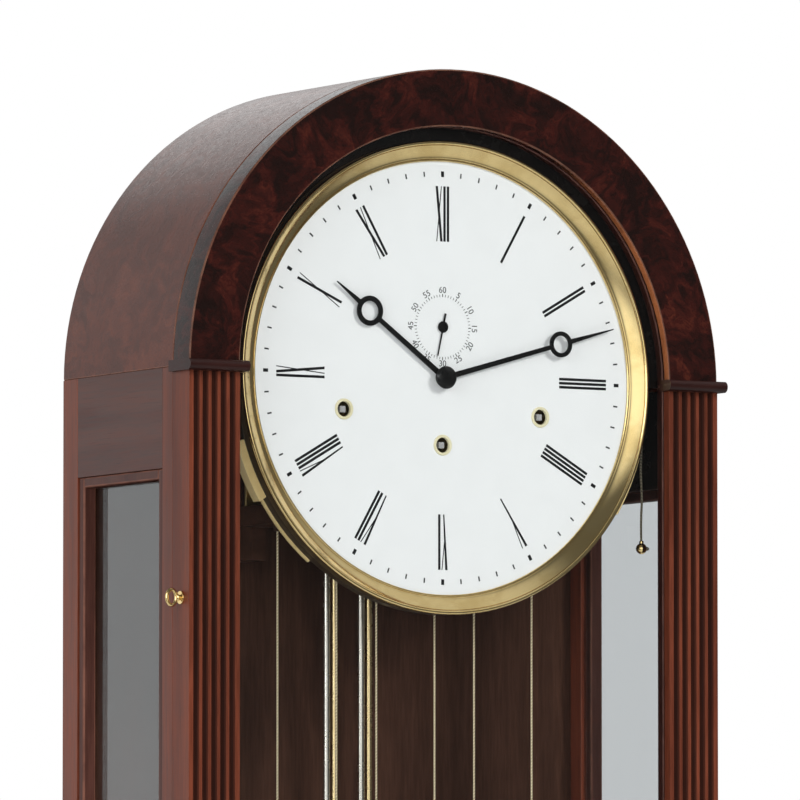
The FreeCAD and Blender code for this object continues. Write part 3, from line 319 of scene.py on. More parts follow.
def makeWoodFigure(s):
    inputs = {"Vector": "Vector", "Pale": "Color", "Dark": "Color"}
    tree, entry, leave = newGroup("woodFigure", inputs, figureOutputs)
    longGrain = vectors(tree, "MULTIPLY", entry["Vector"], s["grain"])[0]
    ribbon = noise(tree, longGrain, *s["ribbon"])[0]
    fibre = noise(tree, longGrain, *s["fibre"])[0]
    pores = noise(tree, vectors(tree, "MULTIPLY", entry["Vector"], s["poreGrain"])[0], *s["pores"])[0]
    pores = maths(tree, "MULTIPLY", remap(tree, pores, *s["poreRange"]), s["poreDepth"])
    colour = mixed(tree, remap(tree, ribbon, *s["ribbonRange"]), entry["Dark"], entry["Pale"])
    shade = remap(tree, fibre, *s["shadeRange"])
    tint = put(tree, "CombineColor", {0: shade, 1: shade, 2: shade})[0]
    colour = mixed(tree, 1, colour, tint, "MULTIPLY")
    feed(tree, leave, {
        "Color": mixed(tree, pores, colour, s["poreColour"]),
        "Rough": remap(tree, fibre, *s["roughRange"]),
        "Height": maths(tree, "SUBTRACT", fibre, pores),
    })
    return tree


def makeBurlFigure(s):
    inputs = {"Vector": "Vector", "Dark": "Color", "Red": "Color", "Amber": "Color"}
    tree, entry, leave = newGroup("burlFigure", inputs, figureOutputs)
    swirl = vectors(tree, "SUBTRACT", noise(tree, entry["Vector"], *s["swirl"])["Color"], s["swirlMiddle"])[0]
    swirl = vectors(tree, "MULTIPLY", swirl, s["swirlReach"])[0]
    curled = vectors(tree, "ADD", entry["Vector"], swirl)[0]
    blotch = noise(tree, curled, *s["blotch"])[0]
    fine = noise(tree, curled, *s["fine"])[0]
    eyes = put(tree, "TexVoronoi", {"Vector": curled, "Scale": s["eyes"]})["Distance"]
    colour = mixed(tree, remap(tree, blotch, *s["redRange"]), entry["Dark"], entry["Red"])
    ember = maths(tree, "MULTIPLY", remap(tree, blotch, *s["emberRange"]), remap(tree, fine, *s["fineRange"]))
    colour = mixed(tree, ember, colour, entry["Amber"])
    feed(tree, leave, {
        "Color": mixed(tree, remap(tree, eyes, *s["eyeRange"]), colour, entry["Dark"]),
        "Rough": remap(tree, fine, *s["roughRange"]),
        "Height": maths(tree, "ADD", blotch, fine),
    })
    return tree


def makeHandledMetal(s):
    inputs = {"Vector": "Vector", "Bright": "Color", "Dull": "Color", "Smooth": "Float", "Rough": "Float"}
    tree, entry, leave = newGroup("handledMetal", inputs, figureOutputs)
    smear = noise(tree, entry["Vector"], *s["smear"])[0]
    speck = noise(tree, entry["Vector"], *s["speck"])[0]
    film = remap(tree, smear, *s["filmRange"])
    spread = maths(tree, "SUBTRACT", entry["Rough"], entry["Smooth"])
    dust = maths(tree, "MULTIPLY", film, remap(tree, speck, *s["speckRange"]))
    feed(tree, leave, {
        "Color": mixed(tree, film, entry["Bright"], entry["Dull"]),
        "Rough": maths(tree, "ADD", maths(tree, "MULTIPLY", spread, dust), entry["Smooth"]),
        "Height": maths(tree, "ADD", smear, speck),
    })
    return tree


handling = makeHandling(wearAndPaintedLightSettings)
woodFigure = makeWoodFigure(woodFigureSettings)
burlFigure = makeBurlFigure(burlFigureSettings)
handledMetal = makeHandledMetal(handledMetalSettings)
print("shared effects built")


# finishes

woodTones = {  # pale and dark figure, rubbed edge with painted highlight
    "mahogany": ((0.185, 0.046, 0.023), (0.095, 0.023, 0.012), (0.42, 0.19, 0.13)),
    "rail": ((0.095, 0.036, 0.027), (0.066, 0.024, 0.019), (0.22, 0.09, 0.06)),
    "ebonised": ((0.034, 0.01, 0.008), (0.018, 0.0055, 0.0045), (0.16, 0.07, 0.055)),
    "inner": ((0.068, 0.031, 0.02), (0.042, 0.019, 0.012), (0.09, 0.045, 0.03)),
}
grainTurns = {"upright": (0, 0, 0), "across": (0, radians(90), 0), "deep": (radians(90), 0, 0)}
paintedFluteShade = (0.009, 0.0022, 0.0014)  # painted shade at the bottom of the flutes
hollowDulling = 0.4
paintedBezelGlow = (0.36, 0.12, 0.045)  # painted warm light on the arch's inner edge, thrown there by the brass bezel
grainDepth = 0.4 * mm
woodFinishes = {  # tone, run of the grain, gloss, rubbing of the edges with painted highlight, relief
    "mahoganyUpright": ("mahogany", "upright", 0.18),
    "mahoganyCase": ("mahogany", "upright", 0.25, 0.15),
    "mahoganyBeads": ("rail", "upright", 0.15, 0.9),
    "mahoganyAcross": ("mahogany", "across", 0.25),
    "mahoganyDeep": ("rail", "deep", 0.25, 0.2),
    "ebonisedAcross": ("ebonised", "across", 0.22, 0.4),
    "ebonisedUpright": ("ebonised", "upright", 0.2),
    "innerWoodUpright": ("inner", "upright", 0.08, 0.3, 0.02),
    "innerWoodAcross": ("inner", "across", 0.08, 0.3, 0.02),
}
burlSettings = {"gloss": 0.2, "rub": 0.5, "edge": (0.3, 0.14, 0.09), "relief": 0.012}
burlFinishes = {  # dark, red, amber
    "burlVeneer": ((0.01, 0.0042, 0.0035), (0.037, 0.0072, 0.0055), (0.075, 0.0165, 0.009)),
    "hoodVeneer": ((0.068, 0.02, 0.0125), (0.115, 0.031, 0.018), (0.145, 0.043, 0.023)),
}
metalSettings = {"rub": 0.4, "gain": 1.15, "lift": 0.04, "depth": 0.2 * mm}
metalFinishes = {  # bright, dull, least and most roughness, relief
    "polishedBrass": ((0.85, 0.65, 0.31), (0.74, 0.54, 0.23), 0.1, 0.2, 0.03),
    "satinBrass": ((0.72, 0.54, 0.25), (0.6, 0.43, 0.18), 0.3, 0.45, 0.03),
    "bellBronze": ((0.66, 0.44, 0.2), (0.5, 0.32, 0.13), 0.15, 0.3, 0.03),
    "brightSteel": ((0.66, 0.63, 0.56), (0.6, 0.57, 0.51), 0.26, 0.3, 0.003),
    "rodBrass": ((0.76, 0.6, 0.33), (0.7, 0.54, 0.28), 0.26, 0.3, 0.003),
    "darkSteel": ((0.16, 0.15, 0.14), (0.1, 0.095, 0.09), 0.25, 0.4, 0.03),
}
paintSettings = {"rub": 0.3, "gain": 1.3, "lift": 0.01, "depth": 0.1 * mm, "relief": 0.03}
paintFinishes = {  # colour, other colour, least and most roughness, gloss
    "dialWhite": ((0.86, 0.875, 0.885), (0.84, 0.855, 0.865), 0.45, 0.55, 0.25),
    "lacqueredBrass": ((0.9, 0.7, 0.34), (0.8, 0.6, 0.27), 0.3, 0.42, 0.5),
    "ringBrass": ((0.8, 0.75, 0.52), (0.72, 0.66, 0.42), 0.25, 0.35, 0.5),
    "arborSteel": ((0.42, 0.42, 0.43), (0.33, 0.33, 0.34), 0.3, 0.42, 0.5),
    "blackLacquer": ((0.012, 0.009, 0.008), (0.018, 0.014, 0.012), 0.2, 0.35, 0.3),
    "drumBrown": ((0.045, 0.028, 0.015), (0.03, 0.019, 0.01), 0.3, 0.45, 0.3),
    "handBlack": ((0.006, 0.006, 0.006), (0.01, 0.01, 0.01), 0.25, 0.4, 0.25),
    "markBlack": ((0.008, 0.008, 0.009), (0.014, 0.014, 0.015), 0.5, 0.65, 0.15),
    "markGrey": ((0.035, 0.036, 0.038), (0.05, 0.051, 0.053), 0.5, 0.65, 0.15),
}
glassSettings = {
    "smears": (6, 5, 0.6, 0.6), "smearRange": (0.45, 0.8, 0, 0.03),
    "gleam": (0.92, 0.98, 1), "clear": (0.95, 0.96, 0.96),
}
glassFinishes = {  # tint, index of refraction
    "doorGlass": ((0.97, 0.98, 0.98), 1.25), "sideGlass": ((0.62, 0.65, 0.665), 1.55),
}
cableSettings = {"dark": (0.5, 0.4, 0.23), "bright": (1, 0.88, 0.62), "roughRange": (0, 1, 0.5, 0.36),
                 "waves": {"Scale": 1, "Distortion": 0.15}, "relief": (0.6, 0.2 * mm)}
cordLook = {"dark": (0.1, 0.085, 0.06), "pale": (0.34, 0.3, 0.22), "relief": (0.7, 0.4 * mm),
            "waves": {"Scale": 260, "Distortion": 2, "Detail": 2}}


def makeWood(name, tone, grain, gloss, rub=0.75, relief=0.08):
    pale, dark, rubbedGlint = woodTones[tone]
    tree, shader, where = newMaterial(name, Specular_IOR_Level=gloss)
    turned = put(tree, "Mapping", {"Vector": where, "Rotation": grainTurns[grain]})[0]
    figure = placed(tree, woodFigure, {"Vector": turned, "Pale": pale, "Dark": dark})
    touch = placed(tree, handling, {"Vector": where, "Amount": rub})
    # edges paler for wear and a painted highlight
    colour = mixed(tree, touch["Rub"], figure["Color"], rubbedGlint)
    # painted warm light from the brass bezel on the arch's inner edge
    colour = mixed(tree, touch["Warm"], colour, paintedBezelGlow)
    # painted shade in the flutes, darker with their depth
    colour = mixed(tree, touch["FluteShade"], colour, paintedFluteShade)
    rough = maths(tree, "ADD", figure["Rough"], maths(tree, "MULTIPLY", touch["FluteShade"], hollowDulling))
    surface(tree, shader, colour, rough, figure["Height"], relief, grainDepth)


def makeBurl(s, name, dark, red, amber):
    tree, shader, where = newMaterial(name, Specular_IOR_Level=s["gloss"])
    figure = placed(tree, burlFigure, {"Vector": where, "Dark": dark, "Red": red, "Amber": amber})
    touch = placed(tree, handling, {"Vector": where, "Amount": s["rub"]})
    # edges paler for wear and a painted highlight
    colour = mixed(tree, touch["Rub"], figure["Color"], s["edge"])
    # painted warm light from the brass bezel on the arch's inner edge
    colour = mixed(tree, touch["Warm"], colour, paintedBezelGlow)
    surface(tree, shader, colour, figure["Rough"], figure["Height"], s["relief"], grainDepth)


def makeCoat(s, name, bright, dull, smooth, rough, relief, **sockets):
    # metal or paint: handled all over, and paler on its edges for wear and a painted highlight
    tree, shader, where = newMaterial(name, **sockets)
    tones = {"Bright": bright, "Dull": dull, "Smooth": smooth, "Rough": rough}
    touch = placed(tree, handledMetal, {"Vector": where, **tones})
    rub = placed(tree, handling, {"Vector": where, "Amount": s["rub"]})["Rub"]
    # edges paler for wear and a painted highlight
    pale = [min(1, channel * s["gain"] + s["lift"]) for channel in bright]
    colour = mixed(tree, rub, touch["Color"], pale)
    surface(tree, shader, colour, touch["Rough"], touch["Height"], relief, s["depth"])


def makeGlass(s, name, tint, ior):
    tree, shader, where = newMaterial(name, Transmission_Weight=1, IOR=ior, Base_Color=tint,
                                      Specular_Tint=s["gleam"])
    feed(tree, shader, {"Roughness": remap(tree, noise(tree, where, *s["smears"])[0], *s["smearRange"])})
    path = put(tree, "LightPath")
    lit = maths(tree, "MAXIMUM", path["Is Shadow Ray"], path["Is Diffuse Ray"])
    # refracted rays count as glossy too, so only rays that come from a mirroring surface are left
    mirrored = maths(tree, "SUBTRACT", path["Is Glossy Ray"], path["Is Transmission Ray"])
    cleared(tree, maths(tree, "MAXIMUM", lit, mirrored), s["clear"])


def makeCableFinish(s):
    tree, shader = newMaterial("cableFinish", Metallic=0.6)[:2]
    strands = waves(tree, {"Vector": put(tree, "UVMap")[0], **s["waves"]})
    colour = mixed(tree, strands, s["dark"], s["bright"])
    surface(tree, shader, colour, remap(tree, strands, *s["roughRange"]), strands, *s["relief"])


def makeCordFinish(s):
    tree, shader, where = newMaterial("cordFinish", Roughness=0.85)
    plait = waves(tree, {"Vector": where, **s["waves"]})
    feed(tree, shader, {
        "Base Color": mixed(tree, plait, s["dark"], s["pale"]),
        "Normal": bumped(tree, plait, *s["relief"]),
    })


for name, row in woodFinishes.items():
    makeWood(name, *row)
for name, row in burlFinishes.items():
    makeBurl(burlSettings, name, *row)
for name, row in metalFinishes.items():
    makeCoat(metalSettings, name, *row, Metallic=1)
for name, (*row, gloss) in paintFinishes.items():
    makeCoat(paintSettings, name, *row, paintSettings["relief"], Specular_IOR_Level=gloss)
for name, row in glassFinishes.items():
    makeGlass(glassSettings, name, *row)
makeCableFinish(cableSettings)
makeCordFinish(cordLook)
print("finishes made:", len(finishes))


# mesh helpers

axisX, axisY, axisZ = Vector((1, 0, 0)), Vector((0, 1, 0)), Vector((0, 0, 1))
latheAxes = {  # across, other and along directions of a turned piece
    "front": (axisX, axisZ, -axisY), "back": (axisX, axisZ, axisY),
    "up": (axisX, axisY, axisZ), "side": (axisY, axisZ, axisX),
}
weldGap = 0.001 * mm
easingSettings = {"flat": 0.5, "arris": 30, "sharp": 50, "seam": 6}  # degrees, and mm behind the door's front


def bodyOf(node):
    return cadNodes[node]["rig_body"]


def camelName(node):
    first, *others = node.split("_")
    return first + "".join(word.capitalize() for word in others)


def newPiece(name, bm, finish, body, replaced=(), sharp=35):
    bmesh.ops.recalc_face_normals(bm, faces=bm.faces)
    mesh = bpy.data.meshes.new(name)
    bm.to_mesh(mesh)
    bm.free()
    mesh.materials.append(finishes[finish])
    mesh.shade_smooth()
    mesh.set_sharp_from_angle(angle=radians(sharp))
    piece = newObject(name, mesh)
    if body:
        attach(piece, body)
    if replaced:
        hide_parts(*replaced)
    return piece


def standIn(node, bm, finish, sharp=35, name=None):
    # piece that takes the place of a CAD node on its body
    return newPiece(name or camelName(node), bm, finish, bodyOf(node), (node,), sharp)


def ease(bm, edges, width, segments):
    return bmesh.ops.bevel(bm, geom=edges, offset=width * mm, segments=segments, profile=0.5,
                           affect="EDGES", clamp_overlap=True)


def shellsOf(mesh):
    # closed solids of a node in the order of its faces: each ends where every edge has met its partner
    shells, current, openEdges = [], [], set()
    spots = [tuple(round(number, 6) for number in vertex.co) for vertex in mesh.vertices]
    for polygon in mesh.polygons:
        ring = [spots[index] for index in polygon.vertices]
        current.append(ring)
        for first, second in zip(ring, ring[1:] + ring[:1]):
            openEdges ^= {frozenset((first, second))}
        if not openEdges:
            shells.append(current)
            current = []
    return shells + [current]


def markHollows(bm, depths=(0.2, 2.9), facing=-0.01, least=0.12, full=3, most=0.88):
    # flutes get painted shade, darker with their depth behind the pilaster's face
    bmesh.ops.recalc_face_normals(bm, faces=bm.faces)
    hollow = bm.faces.layers.float.new("hollow")
    for face in bm.faces:
        depth = face.calc_center_median().y / mm - doorFront
        if depths[0] < depth < depths[1] and face.normal.y < facing:
            face[hollow] = min(most, least + depth / full)


def markWarm(bm, facing=-0.5, start=28, spread=30, most=0.9):
    # inner edge of the arch takes painted warm light from the brass bezel, growing below its top; start and
    # spread in degrees
    bmesh.ops.recalc_face_normals(bm, faces=bm.faces)
    warm = bm.faces.layers.float.new("warm")
    for face in bm.faces:
        out = face.calc_center_median() - dialCentre
        fromTop = degrees(atan2(abs(out.x), out.z))
        if out.x * face.normal.x + out.z * face.normal.z < facing * hypot(out.x, out.z):
            face[warm] = most * min(1, max(0, (fromTop - start) / spread))


def softCopy(node, finish, edge=0.6, segments=2):
    # copy of a CAD node with its arrises eased, for wood and sheet metal
    s = easingSettings
    bm = bmesh.new()
    for shell in shellsOf(cadNodes[node].data):
        corners = {}
        for ring in shell:
            outline = []
            for spot in ring:
                if spot not in corners:
                    corners[spot] = bm.verts.new(spot)
                if corners[spot] not in outline:
                    outline.append(corners[spot])
            if len(outline) > 2 and not bm.faces.get(outline):
                bm.faces.new(outline)
    bmesh.ops.dissolve_limit(bm, angle_limit=radians(s["flat"]), verts=bm.verts, edges=bm.edges)
    least = radians(s["arris"])
    arrises = [e for e in bm.edges if len(e.link_faces) == 2 and e.calc_face_angle(0) > least]
    # bevel faces are marked for wear and a painted highlight
    rubbedGlint = bm.faces.layers.float.new("edge")
    fluted = node.endswith("pilaster")
    for face in ease(bm, arrises, edge, segments)["faces"]:
        # the pilaster's seam with the case gets no rubbing and no painted highlight
        if not fluted or face.calc_center_median().y / mm < doorFront + s["seam"]:
            face[rubbedGlint] = 1
    if fluted:
        # painted shade in the flutes
        markHollows(bm)
    # painted warm light on the arch's inner edge
    if node == "door_arch":
        markWarm(bm)
    piece = standIn(node, bm, finish, s["sharp"])
    piece.modifiers.new("evenNormals", "WEIGHTED_NORMAL").keep_sharp = True
    return piece


def secondFinish(piece, finish, chosen):
    # faces whose middle is chosen take another finish
    piece.data.materials.append(finishes[finish])
    for polygon in piece.data.polygons:
        polygon.material_index = int(chosen(polygon.center))


def keepNode(node, finish):
    data = cadNodes[node].data
    data.materials.clear()
    data.materials.append(finishes[finish])


def skin(bm, stations, ring, closed=True):
    # faces between stations that share one profile; a ring joins the last station to the first
    count = len(stations[0])
    pairs = list(zip(stations, stations[1:])) + ([(stations[-1], stations[0])] if ring else [])
    for here, after in pairs:
        for index in range(count if closed else count - 1):
            following = (index + 1) % count
            bm.faces.new((here[index], after[index], after[following], here[following]))


def capped(bm, stations):
    skin(bm, stations, False)
    bm.faces.new(stations[0])
    bm.faces.new(stations[-1])


def lathe(bm, profile, origin, axis, steps, closed=False):
    # turned shape from (radius, height) pairs round a point, all in mm
    across, other, along = latheAxes[axis]
    start = metres(*origin)
    rings = []
    for step in range(steps):
        turn = 2 * pi * step / steps
        out = cos(turn) * across + sin(turn) * other
        spots = [start + (radius * out + height * along) * mm for radius, height in profile]
        rings.append([bm.verts.new(spot) for spot in spots])
    skin(bm, rings, True, closed)
    bmesh.ops.remove_doubles(bm, verts=[vertex for ring in rings for vertex in ring], dist=weldGap)


def turnedPiece(node, finish, profile, origin, axis, steps, closed=False, **more):
    bm = bmesh.new()
    lathe(bm, profile, origin, axis, steps, closed)
    standIn(node, bm, finish, **more)


def curveOf(centre, radius, start, end, count):
    # points of an arc, from and to angles in degrees
    turns = [radians(start + (end - start) * index / count) for index in range(count + 1)]
    return [(centre[0] + radius * cos(turn), centre[1] + radius * sin(turn)) for turn in turns]


def slab(bm, outline, back, front, matrix=None):
    # flat piece from an outline in the dial's plane, back and front along Y
    low, high = [[bm.verts.new(metres(u, deep, v)) for u, v in outline] for deep in (back, front)]
    if matrix:
        bmesh.ops.transform(bm, matrix=matrix, verts=low + high)
    capped(bm, [low, high])


def block(bm, low, high, edge, segments=2):
    # eased box between two corners in mm
    made = bmesh.ops.create_cube(bm, size=1)["verts"]
    for vertex in made:
        vertex.co = [((l + h) / 2 + c * (h - l)) * mm for l, h, c in zip(low, high, vertex.co)]
    sides = {side for vertex in made for side in vertex.link_edges}
    ease(bm, list(sides), edge, segments)


def tubeAlong(bm, path, radius, sides=10, twist=260):
    # round tube for a cable, with UVs that run along it and twist as strands per metre
    sheet = bm.loops.layers.uv.new("along")
    rings, run, runs = [], 0, []
    angles = [2 * pi * k / sides for k in range(sides)]
    for index, spot in enumerate(path):
        before, after = path[max(index - 1, 0)], path[min(index + 1, len(path) - 1)]
        out = (after - before).normalized().cross(axisY).normalized()
        run += (spot - before).length
        runs.append(run)
        rings.append([bm.verts.new(spot + radius * (cos(t) * out + sin(t) * axisY)) for t in angles])
    for index in range(len(path) - 1):
        for k in range(sides):
            corners = ((index, k), (index, k + 1), (index + 1, k + 1), (index + 1, k))
            face = bm.faces.new([rings[i][j % sides] for i, j in corners])
            for loop, (i, j) in zip(face.loops, corners):
                loop[sheet].uv = (j / sides, runs[i] * twist)
    bm.faces.new(rings[0])
    bm.faces.new(rings[-1])


# pull cord of the repeat work, with its ball

cordSettings = {
    "points": ((192, -34.5, 1711.7), (192.5, -34.4, 1699), (191.1, -34.6, 1681), (192.9, -34.4, 1661),
               (191.3, -34.6, 1641), (192, -34.5, 1621)),
    "radius": 0.9, "length": 90.7, "ball": 4.25, "ballEnds": 77, "bore": (0.95, 4.1),
    "collar": ((0.95, 4), (1.7, 4), (1.7, 5.6), (1.3, 6), (0.95, 6)), "knot": 1.5, "knotAside": 5.3,
}


def makeRepeatCord(points, radius, length, ball, ballEnds, bore, collar, knot, knotAside):
    curve = bpy.data.curves.new("repeatCord", "CURVE")
    curve.dimensions = "3D"
    spline = curve.splines.new("NURBS")
    spline.points.add(len(points) - 1)
    for point, spot in zip(spline.points, points):
        point.co = (*metres(*spot), 1)
    spline.order_u = 3
    spline.use_endpoint_u = True
    curve.bevel_depth = radius * mm
    curve.bevel_resolution = 3
    curve.use_fill_caps = True
    curve.materials.append(finishes["cordFinish"])
    cord = newObject("repeatCord", curve)
    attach(cord, "repeat_pull")
    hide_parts("repeat_cord")
    across, deep, up = points[-1]
    bm = bmesh.new()
    lathe(bm, curveOf((0, 0), knot, -90, 90, 10), (across + knotAside, deep, up), "up", 20)
    knotPiece = newPiece("repeatCordKnot", bm, "cordFinish", "repeat_pull")
    bm = bmesh.new()
    wide, end = bore
    profile = [(wide, -end), *curveOf((0, 0), ball, -ballEnds, ballEnds, 24), (wide, end)]
    lathe(bm, profile, points[-1], "up", 40, True)
    lathe(bm, collar, points[-1], "up", 24, True)
    ballPiece = standIn("repeat_ball", bm, "polishedBrass")


makeRepeatCord(**cordSettings)
print("pull cord hung")


# woodwork: eased copies of the case and door boards

woodEdges = {  # node: finish, easing in mm, its segments
    "base_front_panel": ("mahoganyUpright", 1.2), "base_side_panels": ("mahoganyUpright", 1.2),
    "trunk_side_stiles": ("mahoganyCase", 0.4), "trunk_side_rails": ("mahoganyDeep", 0.4),
    "side_glass_beads": ("mahoganyBeads", 1.4), "hood_shell": ("hoodVeneer", 1),
    "door_arch": ("burlVeneer", 1.2), "door_left_pilaster": ("mahoganyUpright", 0.4),
    "door_right_pilaster": ("mahoganyUpright", 0.4), "door_bottom_rail": ("mahoganyAcross", 1.2),
    "door_glass_beads": ("ebonisedUpright", 1), "capital_mouldings": ("ebonisedAcross", 3.2, 5),
    "floor_board": ("innerWoodAcross", 0.6), "back_panel": ("innerWoodUpright", 0.6),
    "seat_board": ("innerWoodAcross", 0.6),
}
railInside = 217.5 * mm
boards = {node: softCopy(node, *row) for node, row in woodEdges.items()}
# the side rails are black on their inner side
secondFinish(boards["trunk_side_rails"], "blackLacquer", lambda middle: abs(middle.x) < railInside)
print("woodwork eased:", len(woodEdges))


# base: moulded plinth, step moulding and framed panels

baseSettings = {
    "half": 250, "front": -103, "back": 118, "sharp": 40,
    # out, up: a plain board with a hollow, a fillet and a rounded top
    "plinth": ((0, 0), (15, 0), (15, 59), (14.2, 60.2), (13.4, 60.6), (13.2, 63), (12.2, 67.4), (10.2, 71.2),
               (7.4, 73.8), (4.6, 74.8), (4.4, 76.4), (4, 78.4), (3, 79.6), (1.8, 80), (0, 80)),
    "inset": (-33, -63),  # inner edge of the step moulding at the sides and at the front
    "step": ((0.6, 285), (1.4, 285.6), (1.6, 287.6), (2.2, 289.4), (3.4, 291), (5.2, 292), (6.6, 292.6),
             (7.6, 293.6), (8, 295), (8, 297.4), (7.5, 299), (6.4, 299.9), (5.4, 300)),
    "stepEnds": (285, 300),
    # inwards, proud
    "frame": ((0, -0.5), (0, 1.4), (0.8, 3.2), (2.4, 4.6), (4.4, 4.9), (6.2, 4), (7.2, 2.6), (8.8, 1.9),
              (11, 1.6), (12, 1.1), (12, -0.5)),
    "field": ((11.8, -0.4), (11.8, 0.5), (13.8, 1.4)),
    "frontPanel": ((-192, 104), (192, 266)), "sidePanel": ((-62, 104), (78, 266)),
}


def mitredRun(bm, profile, s):
    # moulding round the front and both sides, mitred at the corners; profile of side out, front out, up
    stations = []
    for sign, atFront in ((-1, False), (-1, True), (1, True), (1, False)):
        ring = []
        for side, out, up in profile:
            deep = s["front"] - out if atFront else s["back"]
            ring.append(bm.verts.new(metres(sign * (s["half"] + side), deep, up)))
        stations.append(ring)
    capped(bm, stations)


def panelPlaces(s):
    # each panel's own plane: across, up and proud turned into the shared frame
    return (
        (s["frontPanel"], lambda u, v, out: metres(u, s["front"] - out, v)),
        (s["sidePanel"], lambda u, v, out: metres(-s["half"] - out, u, v)),
        (s["sidePanel"], lambda u, v, out: metres(s["half"] + out, u, v)),
    )


def boxRing(corners, inset):
    (low, foot), (high, head) = corners
    left, right, under, over = low + inset, high - inset, foot + inset, head - inset
    return (left, under), (right, under), (right, over), (left, over)


def makeBase(s):
    bm = bmesh.new()
    mitredRun(bm, [(out, out, up) for out, up in s["plinth"]], s)
    standIn("plinth_boards", bm, "mahoganyAcross", s["sharp"])
    bm = bmesh.new()
    under, over = [(*s["inset"], up) for up in s["stepEnds"]]
    mitredRun(bm, [under, *[(out, out, up) for out, up in s["step"]], over], s)
    standIn("base_moulding", bm, "mahoganyAcross", s["sharp"])
    frames, fields = bmesh.new(), bmesh.new()
    for corners, place in panelPlaces(s):
        rings = [(boxRing(corners, inset), proud) for inset, proud in s["frame"]]
        skin(frames, [[frames.verts.new(place(*ring[corner], proud)) for ring, proud in rings]
                      for corner in range(4)], True)
        capped(fields, [[fields.verts.new(place(u, v, proud)) for u, v in boxRing(corners, inset)]
                        for inset, proud in s["field"]])
    newPiece("basePanelFrames", frames, "ebonisedAcross", "case")
    newPiece("basePanelFields", fields, "burlVeneer", "case")


makeBase(baseSettings)

screwSettings = {
    "rows": range(350, 1651, 130), "across": 208, "face": 118,
    "head": ((0, -0.4), (3.2, -0.4), (3.2, 0.1), (2.56, 0.49), (1.44, 0.7), (0.64, 0.7), (0.512, 0.2),
             (0, 0.2)),
}


def makeBackScrews(rows, across, face, head):
    bm = bmesh.new()
    for up in rows:
        for side in (-1, 1):
            lathe(bm, head, (side * across, face, up), "back", 20)
    newPiece("backScrews", bm, "darkSteel", "case")


makeBackScrews(**screwSettings)
print("base and back finished")


# glass

keepNode("door_glass", "doorGlass")
keepNode("side_glass_panes", "sideGlass")


# bezel, dial, drum and flange

bezelSettings = {  # radius and height, from the rolled lip over the hollow bowl and the rim to the spun back
    "lip": 166, "lipRoll": 0.9, "innerQuirk": (167.9, 1.1),
    "bowl": (168.2, 1.3), "bowlSize": (9.6, 5.7), "bowlPower": 1.35, "bowlSteps": 12,
    "outerQuirk": ((178.1, 6.6), (178.4, 6.7)), "rim": (179.9, 7.1), "rimRoll": 1.6,
    "back": ((180.6, 5.2), (177.6, 0), (177.6, -2), (176, -2), (176, 0)),
}


def makeBezel(lip, lipRoll, innerQuirk, bowl, bowlSize, bowlPower, bowlSteps, outerQuirk, rim, rimRoll, back):
    profile = [(lip, 0), (lip, lipRoll), *curveOf((lip + lipRoll, lipRoll), lipRoll, 180, 45, 6), innerQuirk]
    for part in [k / bowlSteps for k in range(bowlSteps + 1)]:
        profile.append((bowl[0] + bowlSize[0] * part, bowl[1] + bowlSize[1] * part ** bowlPower))
    profile += [*outerQuirk, *curveOf(rim, rimRoll, 180, -30, 14), *back]
    turnedPiece("bezel", "polishedBrass", profile, dialSpot, "front", 160, True, sharp=32, name="bezelRing")


makeBezel(**bezelSettings)
keepNode("dial_plate", "dialWhite")
drumOutside = 181.2 * mm
drum = softCopy("dial_drum", "drumBrown", 0.4)
# the mask outside the drum is lacquered black
secondFinish(drum, "blackLacquer", lambda middle: (middle - dialCentre).xz.length > drumOutside)
softCopy("dial_flange", "lacqueredBrass", 0.4)


# printed dial: numerals, minute track and seconds ring

numeralSettings = {
    "inner": 104.6, "outer": 147, "thick": 2.05, "thin": 0.75, "point": 1.1, "join": 0.42,
    "gap": 0.2, "lean": 0.35, "flare": 0.4, "proud": 0.08, "lower": 0.05,
    "wide": {"I": 3.1, "V": 6, "X": 6.6},
    "words": ("I", "II", "III", "IIII", "V", "VI", "VII", "VIII", "IX", "X", "XI", "XII"),
}
minuteSettings = {
    "radius": 156.3, "proud": 0.08,
    "tracks": (("minuteTrackBold", "markBlack", True, 4.3, 2.6),
               ("minuteTrackFine", "markGrey", False, 3.8, 1.2)),
}
secondsSettings = {"rise": 39, "radius": 23, "fine": (1.9, 0.42), "bold": (2.47, 0.66), "numbers": 28.2,
                   "height": 4.7, "proud": 0.08, "extrude": 0.01}


def dialTurn(angle, rise=0):
    spot = Matrix.Translation(dialCentre + metres(0, 0, rise))
    return spot @ Matrix.Rotation(radians(angle), 4, "Y")


def stroke(bm, top, foot, widths, high, low, matrix, proud):
    over, under = widths[0] / 2, widths[1] / 2
    outline = [(foot - under, low), (foot + under, low), (top + over, high), (top - over, high)]
    slab(bm, outline, 0, -proud, matrix)


def makeNumerals(inner, outer, thick, thin, point, join, gap, lean, flare, wide, proud, lower, words):
    bm = bmesh.new()
    even, fine = (thick, thick), (thin, thin)
    for hour, word in enumerate(words, start=1):
        turn = dialTurn(30 * hour)
        start = -sum(wide[letter] for letter in word) / 2
        for letter in word:
            middle = start + wide[letter] / 2
            reach = wide[letter] / 2 - thick / 2 - gap
            left, right = middle - reach, middle + reach
            if letter == "I":
                stroke(bm, middle, middle, even, outer, inner, turn, proud)
            elif letter == "V":
                foot = middle + reach * lean
                stroke(bm, left, foot, (thick, point), outer, inner, turn, proud)
                meet = foot + (left - foot) * join
                stroke(bm, right + flare, meet, fine, outer, inner + (outer - inner) * join, turn, lower)
            else:
                stroke(bm, left, right, even, outer, inner, turn, proud)
                stroke(bm, right, left, fine, outer, inner, turn, lower)
            start += wide[letter]
    newPiece("hourNumerals", bm, "markBlack", "case")


def makeMinutes(radius, proud, tracks):
    for name, finish, bold, tall, wide in tracks:
        bm = bmesh.new()
        for minute in range(60):
            if (minute % 5 == 0) == bold:
                turn = dialTurn(6 * minute)
                stroke(bm, 0, 0, (wide, wide), radius + tall / 2, radius - tall / 2, turn, proud)
        newPiece(name, bm, finish, "case")


